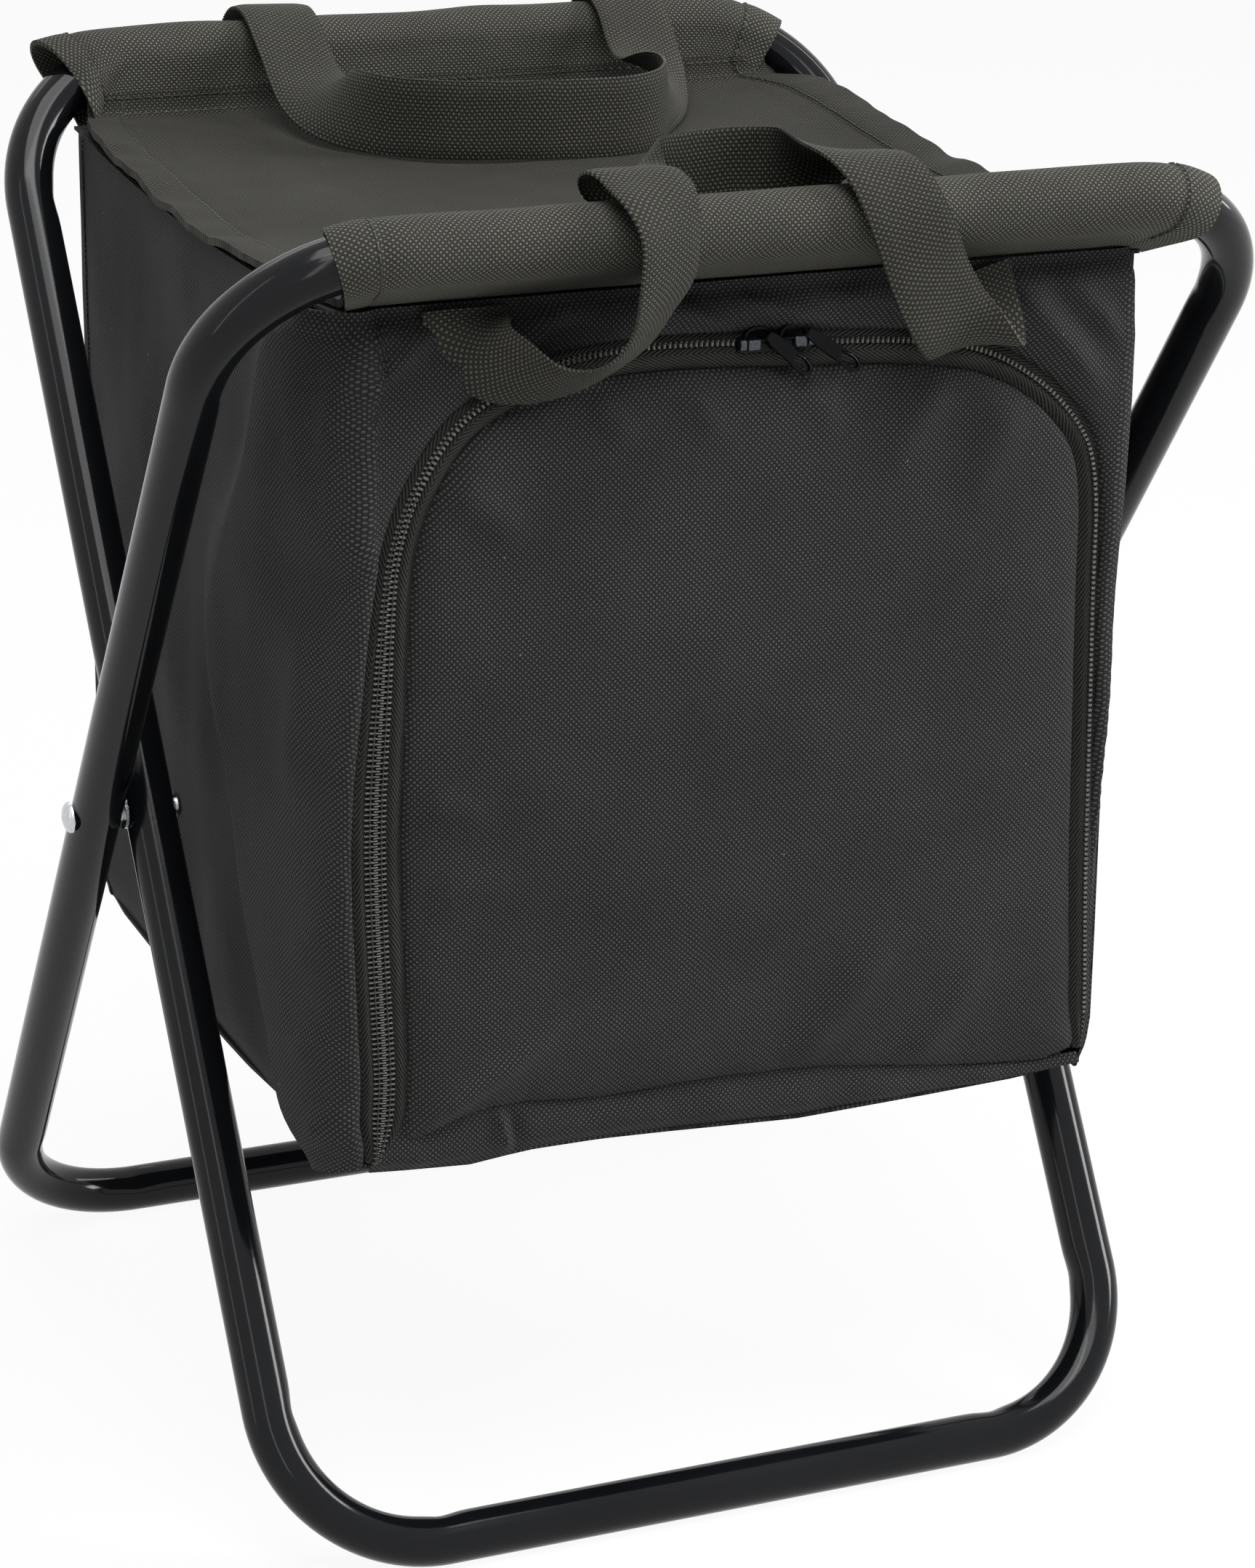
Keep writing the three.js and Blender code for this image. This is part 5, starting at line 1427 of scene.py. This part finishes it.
tub_cloth = stack(run_along(tub[20]), tub[..., 1])
tub_cloth[flat_back:] = tub[flat_back:][..., (0, 2)]  # the back is a flat piece of its own
lining = layered("bag_foil", tub_skin, tub_skin - tub_out * 1.5, foil, tub_cloth, round_columns=True)
settle(lining, "cooler_bag", "bag_lining", "foil_lining")
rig.squash(lining, "frame_fold", axis=(0, 1, 0), anchor=(0, 0, 0), keep=0.113)
tub_size = (float(length_of(tub[20]) * MM), float(length_of(tub[:, 40]) * MM))
tub_area = float(sum(f.area for f in lining.data.polygons) / 2)
print("lining is cut", [round(s, 3) for s in tub_size], "m, area", round(tub_area, 3))
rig.sheet(lining, flat=tub_size, area=tub_area, held="folded", rests_on=["bag_base_cloth"])

# %% [markdown]
# ## Handles
# Each handle is a length of 25 mm webbing sewn under its sleeve at both ends. It hangs, folds
# and climbs back over the tube as stiff tape does, so it needs its route and the way its face
# looks at each place. The rows below follow the solids', with more of the tape's own twist:
# place along, outwards and up, then the facing, in shares of the span and the sleeve's radius.

# %% Webbing routes
front_route = [
    (-0.568, -0.93, -1.95, 0, 1, -0.4), (-0.566, -0.7, -2.5, -0.1, 0.9, -0.5),
    (-0.553, -0.42, -3.05, -0.35, 0.85, -0.4), (-0.52, -0.19, -3.53, -0.52, 0.81, -0.3),
    (-0.472, 0, -3.9, -0.5, 0.68, -0.54), (-0.425, 0.2, -4.07, -0.2, 0.57, -0.8),
    (-0.375, 0.38, -4, 0.07, 0.5, -0.87), (-0.325, 0.6, -3.65, 0.35, 0.47, -0.8),
    (-0.28, 0.9, -2.95, 0.53, 0.58, -0.62), (-0.257, 1.15, -2.2, 0.6, 0.66, -0.42),
    (-0.243, 1.4, -1.4, 0.52, 0.78, -0.33), (-0.237, 1.55, -0.5, 0.5, 0.87, -0.05),
    (-0.24, 1.5, 0.45, 0.43, 0.83, 0.33), (-0.25, 1.1, 1.22, 0.15, 0.66, 0.74),
    (-0.26, 0.3, 1.62, 0, 0.35, 0.93), (-0.27, -0.5, 1.75, 0, -0.25, 0.97),
    (-0.25, -1.7, 1.3, 0, -0.8, 0.6), (-0.14, -2.8, 0.9, -0.2, -0.97, 0.1), (0, -3.1, 0.9, 0, -1, 0),
    (0.1, -2.6, 1, 0.2, -0.95, 0.15), (0.155, -1.6, 1.5, 0.1, -0.7, 0.7),
    (0.18, -0.4, 1.75, 0, -0.2, 0.98), (0.2, 0.75, 1.35, 0, 0.6, 0.8), (0.225, 1.35, 0.35, 0, 0.95, 0.3),
    (0.247, 1.45, -0.5, 0.03, 1, 0), (0.27, 1.4, -1.35, 0.04, 1, 0), (0.3, 1.25, -2.2, 0.04, 1, -0.05),
    (0.345, 0.95, -3.15, 0.06, 0.95, -0.3), (0.392, 0.6, -3.75, 0.12, 0.5, -0.85),
    (0.432, 0, -3.9, 0.1, -0.25, -0.96), (0.447, -0.5, -3.45, 0.05, -0.8, -0.6),
    (0.442, -0.82, -2.85, 0, -1, -0.1), (0.43, -0.95, -2.1, 0, -1, 0)]
rear_route = [
    (-0.5, -0.94, -3.1, 0, 1, 0), (-0.5, -0.7, -2.35, 0, 0.8, -0.6), (-0.5, 0.4, -1.65, 0, 0.6, -0.8),
    (-0.5, 1.3, -0.85, 0, 0.85, -0.5), (-0.5, 1.94, 0.2, 0, 1, 0.1), (-0.5, 1, 1.15, 0, 0.6, 0.8),
    (-0.5, -0.2, 1.34, 0, -0.15, 1), (-0.5, -1.4, 0.85, 0, -0.5, 0.85), (-0.5, -2.7, 0, 0, -0.5, 0.87),
    (-0.5, -4.3, -0.6, -0.3, -0.4, 0.85), (-0.49, -6.2, -0.7, -0.85, -0.1, 0.5),
    (-0.43, -7.8, -0.76, -1, -0.2, 0.1), (-0.29, -9, -0.82, -0.5, -0.85, 0),
    (-0.1, -9.7, -0.84, -0.1, -1, 0), (0.1, -10.1, -0.84, 0, -1, 0), (0.24, -9.9, -0.84, 0.2, -1, 0),
    (0.33, -9.1, -0.82, 0.8, -0.6, 0), (0.39, -7.8, -0.76, 1, -0.2, 0.1),
    (0.44, -6.2, -0.7, 0.85, -0.1, 0.5), (0.47, -4.3, -0.6, 0.3, -0.4, 0.85),
    (0.49, -2.7, 0, 0, -0.5, 0.87), (0.5, -1.4, 0.85, 0, -0.5, 0.85), (0.5, -0.2, 1.34, 0, -0.15, 1),
    (0.5, 0.78, 1.1, 0, 0.6, 0.8), (0.5, 1.32, 0.2, 0, 1, 0.1), (0.5, 1.15, -0.85, 0, 0.85, -0.5),
    (0.5, 0.4, -1.65, 0, 0.6, -0.8), (0.5, -0.7, -2.35, 0, 0.8, -0.6), (0.5, -0.94, -3.1, 0, 1, 0)]
webbing_width, webbing_thickness = 25.0, 1.6
handle_radius = 9.707  # the sleeve's, which the shares are of
tube_reach, tube_height = 141.39, 412.16
edge_loop = 1.6  # pitch of the weft's loops along the edges
front_span, rear_span, rear_shift = 156.0, 122.0, 9.0


def handle(name, route, span, shift, outwards, seed):
    """A handle of webbing along its route, and the length it is cut to."""
    rows = np.array(route, float)
    places = stack(shift + rows[:, 0] * span, outwards * (tube_reach + rows[:, 1] * handle_radius),
                   tube_height + rows[:, 2] * handle_radius)
    line = smooth_line(np.concatenate([places, rows[:, 3:] * (1, outwards, 1)], 1), 760)
    middle, facing = line[:, :3], line[:, 3:]
    ahead_of = unit(np.gradient(middle, axis=0))
    facing = unit(facing - (facing * ahead_of).sum(-1, keepdims=True) * ahead_of)
    aside = np.cross(facing, ahead_of)
    run = run_along(middle)
    across = np.linspace(-1, 1, 27)
    loops = 0.45 * np.abs(np.sin(np.pi * run / edge_loop))
    half = (webbing_width / 2 - 0.45 + loops)[:, None] * across
    cloth = stack(half, run[:, None])
    lift = bumpy(cloth, 30, 0.7, seed) + 0.25 * np.cos(np.pi * across) * ease(0.6, 1, np.abs(across))
    skin = middle[:, None] + aside[:, None] * half[..., None] + facing[:, None] * lift[..., None]
    thick = webbing_thickness * (1 - 0.45 * np.abs(across) ** 8)[None, :, None] / 2
    piece = layered(name, skin + facing[:, None] * thick, skin - facing[:, None] * thick, webbing, cloth)
    print(name, "is cut", round(run[-1]), "mm long")
    return piece, run[-1]


front_handle, front_cut = handle("front_webbing", front_route, front_span, 0, -1, 2.0)
rear_handle, rear_cut = handle("rear_webbing", rear_route, rear_span, rear_shift, 1, 5.0)
for piece, cut, node, body, side in ((front_handle, front_cut, "front_handle", "outer_frame", -1),
                                     (rear_handle, rear_cut, "rear_handle", "inner_frame", 1)):
    settle(piece, node=node, slot="webbing")
    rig.sheet(piece, flat=(webbing_width * MM, float(cut) * MM), held="folded",
             rests_on=[node.split("_")[0] + "_sleeve_cloth"])
    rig.blend(piece, body, node, start=(0, side * 0.1414, 0.372), end=(0, side * 0.1414, 0.402))

# %% [markdown]
# ## Sliders and pulls
# Each slider is a small casting. The full flap has rolled its part of the zip over, so the
# sliders stand on edge: what shows is a worn nose, the loop on its back, and a black pull
# that hangs from the loop over the band. A block is a sphere pressed towards a cube, which
# rounds its edges as tumbling does, and the pull is one ring of sections round its hole.

# %% Shapes of the castings
def pebble(low, high, power=7.0):
    """Points and faces of a block with rounded edges."""
    rise, turn = np.meshgrid(np.linspace(-np.pi / 2, np.pi / 2, 15)[1:-1],
                             np.linspace(0, 2 * np.pi, 28, endpoint=False), indexing="ij")
    rays = stack(np.cos(rise) * np.cos(turn), np.cos(rise) * np.sin(turn), np.sin(rise))
    rays = rays / (np.abs(rays) ** power).sum(-1, keepdims=True) ** (1 / power)
    low, high = np.array(low, float), np.array(high, float)
    return ((low + high) / 2 + rays * (high - low) / 2).reshape(-1, 3), capped(13, 28)


def arch(middle, half_width, height, y, depth=2.2, thick=0.9):
    """Points and faces of the loop: a flat strip bent over in an arch."""
    turn = np.linspace(0, np.pi, 25)
    line = stack(-half_width * np.cos(turn), 0 * turn, height * np.sin(turn) ** 0.8)
    out = unit(stack(-np.cos(turn) * height, 0 * turn, np.sin(turn) * half_width))
    section = [(0.5, -0.3), (0.3, -0.5), (-0.3, -0.5), (-0.5, -0.3),
               (-0.5, 0.3), (-0.3, 0.5), (0.3, 0.5), (0.5, 0.3)]
    points = np.array(middle) + np.array([line + out * (r * thick) + (0, s * depth, 0) for r, s in section])
    return (points.transpose(1, 0, 2) + (0, y, 0)).reshape(-1, 3), capped(25, len(section))


def joined(name, shapes, material):
    points, faces = [], []
    for some_points, some_faces in shapes:
        faces += [[i + sum(map(len, points)) for i in face] for face in some_faces]
        points.append(some_points)
    return make_piece(name, np.concatenate(points), faces, material)


pull_width, pull_thick = 4.7, 1.3
hole_half = (3.0, 1.25)
hole_from_tip = 4.5


def pull(name, start, end):
    """A pull from its neck to its tip: a ring of sections round its hole."""
    start, end = np.array(start, float), np.array(end, float)
    length = np.linalg.norm(end - start)
    along = (end - start) / length
    facing = np.array([0, -1, 0.25])
    facing = unit(facing - along * (facing @ along))
    aside = np.cross(along, facing)
    bend = np.linspace(-np.pi / 2, np.pi / 2, 24)
    r, r2 = pull_width / 2, 0.9
    tip = stack(length - r + r * np.cos(bend), r * np.sin(bend))
    bend = bend[::2]
    neck = stack(r2 - r2 * np.cos(bend), (r * 0.8 - r2) * np.sign(bend) + r2 * np.sin(bend))
    rim = evened(np.concatenate([tip, neck[::-1], tip[:1]]), 400)
    centre = np.array([length - hole_from_tip, 0])
    turn = np.linspace(0, 2 * np.pi, 72, endpoint=False)
    outer = reach_round(rim - centre, turn)
    inner = 1 / np.hypot(np.cos(turn) / hole_half[0], np.sin(turn) / hole_half[1])
    soft = 0.35
    section = [(0, 0, -0.5), (0, 0, 0.6), (0, soft, 1.25), (0, 2 * soft, 1), (1, -soft, 1),
               (1, 0, 0.5), (1, 0, -0.5), (1, -soft, -1), (0, soft, -1)]
    points = []
    for share, inset, height in section:
        reach = mix(inner, outer, share) + inset
        flat = centre + stack(np.cos(turn), np.sin(turn)) * reach[:, None]
        lift = facing * (height * pull_thick / 2)
        points.append(start + along * flat[:, :1] + aside * flat[:, 1:] + lift)
    points = np.array(points).transpose(1, 0, 2)
    return make_piece(name, points, net(72, len(section), True, True), lacquer, sharp=40)


print("shapes ready, pulls", pull_width, "mm wide")

# %% Two sliders
for side, middle, nose, hang in (("left", 0.0, 1, (2.2, 15.6)), ("right", 11.2, -1, (14.6, 30.9))):
    def span(a, b, low, high):
        """A block from a to b along the zip, counted from the slider's middle towards its tail."""
        edges = sorted((middle + nose * a, middle + nose * b))
        return pebble((edges[0], low[0], low[1]), (edges[1], high[0], high[1]))

    body = joined(side + "_slider_casting", [
        span(-6.2, 5.4, (-134.0, 373.8), (-129.6, 377.2)),
        span(-6.0, 5.0, (-134.6, 377.1), (-129.4, 377.9)),
        arch((middle, 0, 377.4), 3.9, 3.6, -132.2)], lacquer)
    worn = joined(side + "_slider_nose", [span(-6.1, -3.9, (-135.3, 375.0), (-131, 378.3)),
                                          span(-3.7, 0.4, (-135.6, 374.9), (-131, 378.2))], rubbed)
    tab = pull(side + "_pull_tab", (hang[0], -135.0, 379.2), (hang[1], -136.9, 367.6))
    settle(body, side + "_slider", side + "_zip_slider", "zip_metal")
    settle(worn, side + "_slider", slot="zip_metal")
    settle(tab, side + "_pull", side + "_zip_pull", "zip_metal")
print("two sliders with pulls")

# %% Write the sizes and finish
dressed_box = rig.bounds()
with open("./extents.json", "w") as size_file:
    json.dump({"cad": [list(c) for c in cad_box], "visual": [list(c) for c in dressed_box]}, size_file)
print("dressed box", [[round(v / MM, 1) for v in corner] for corner in dressed_box])
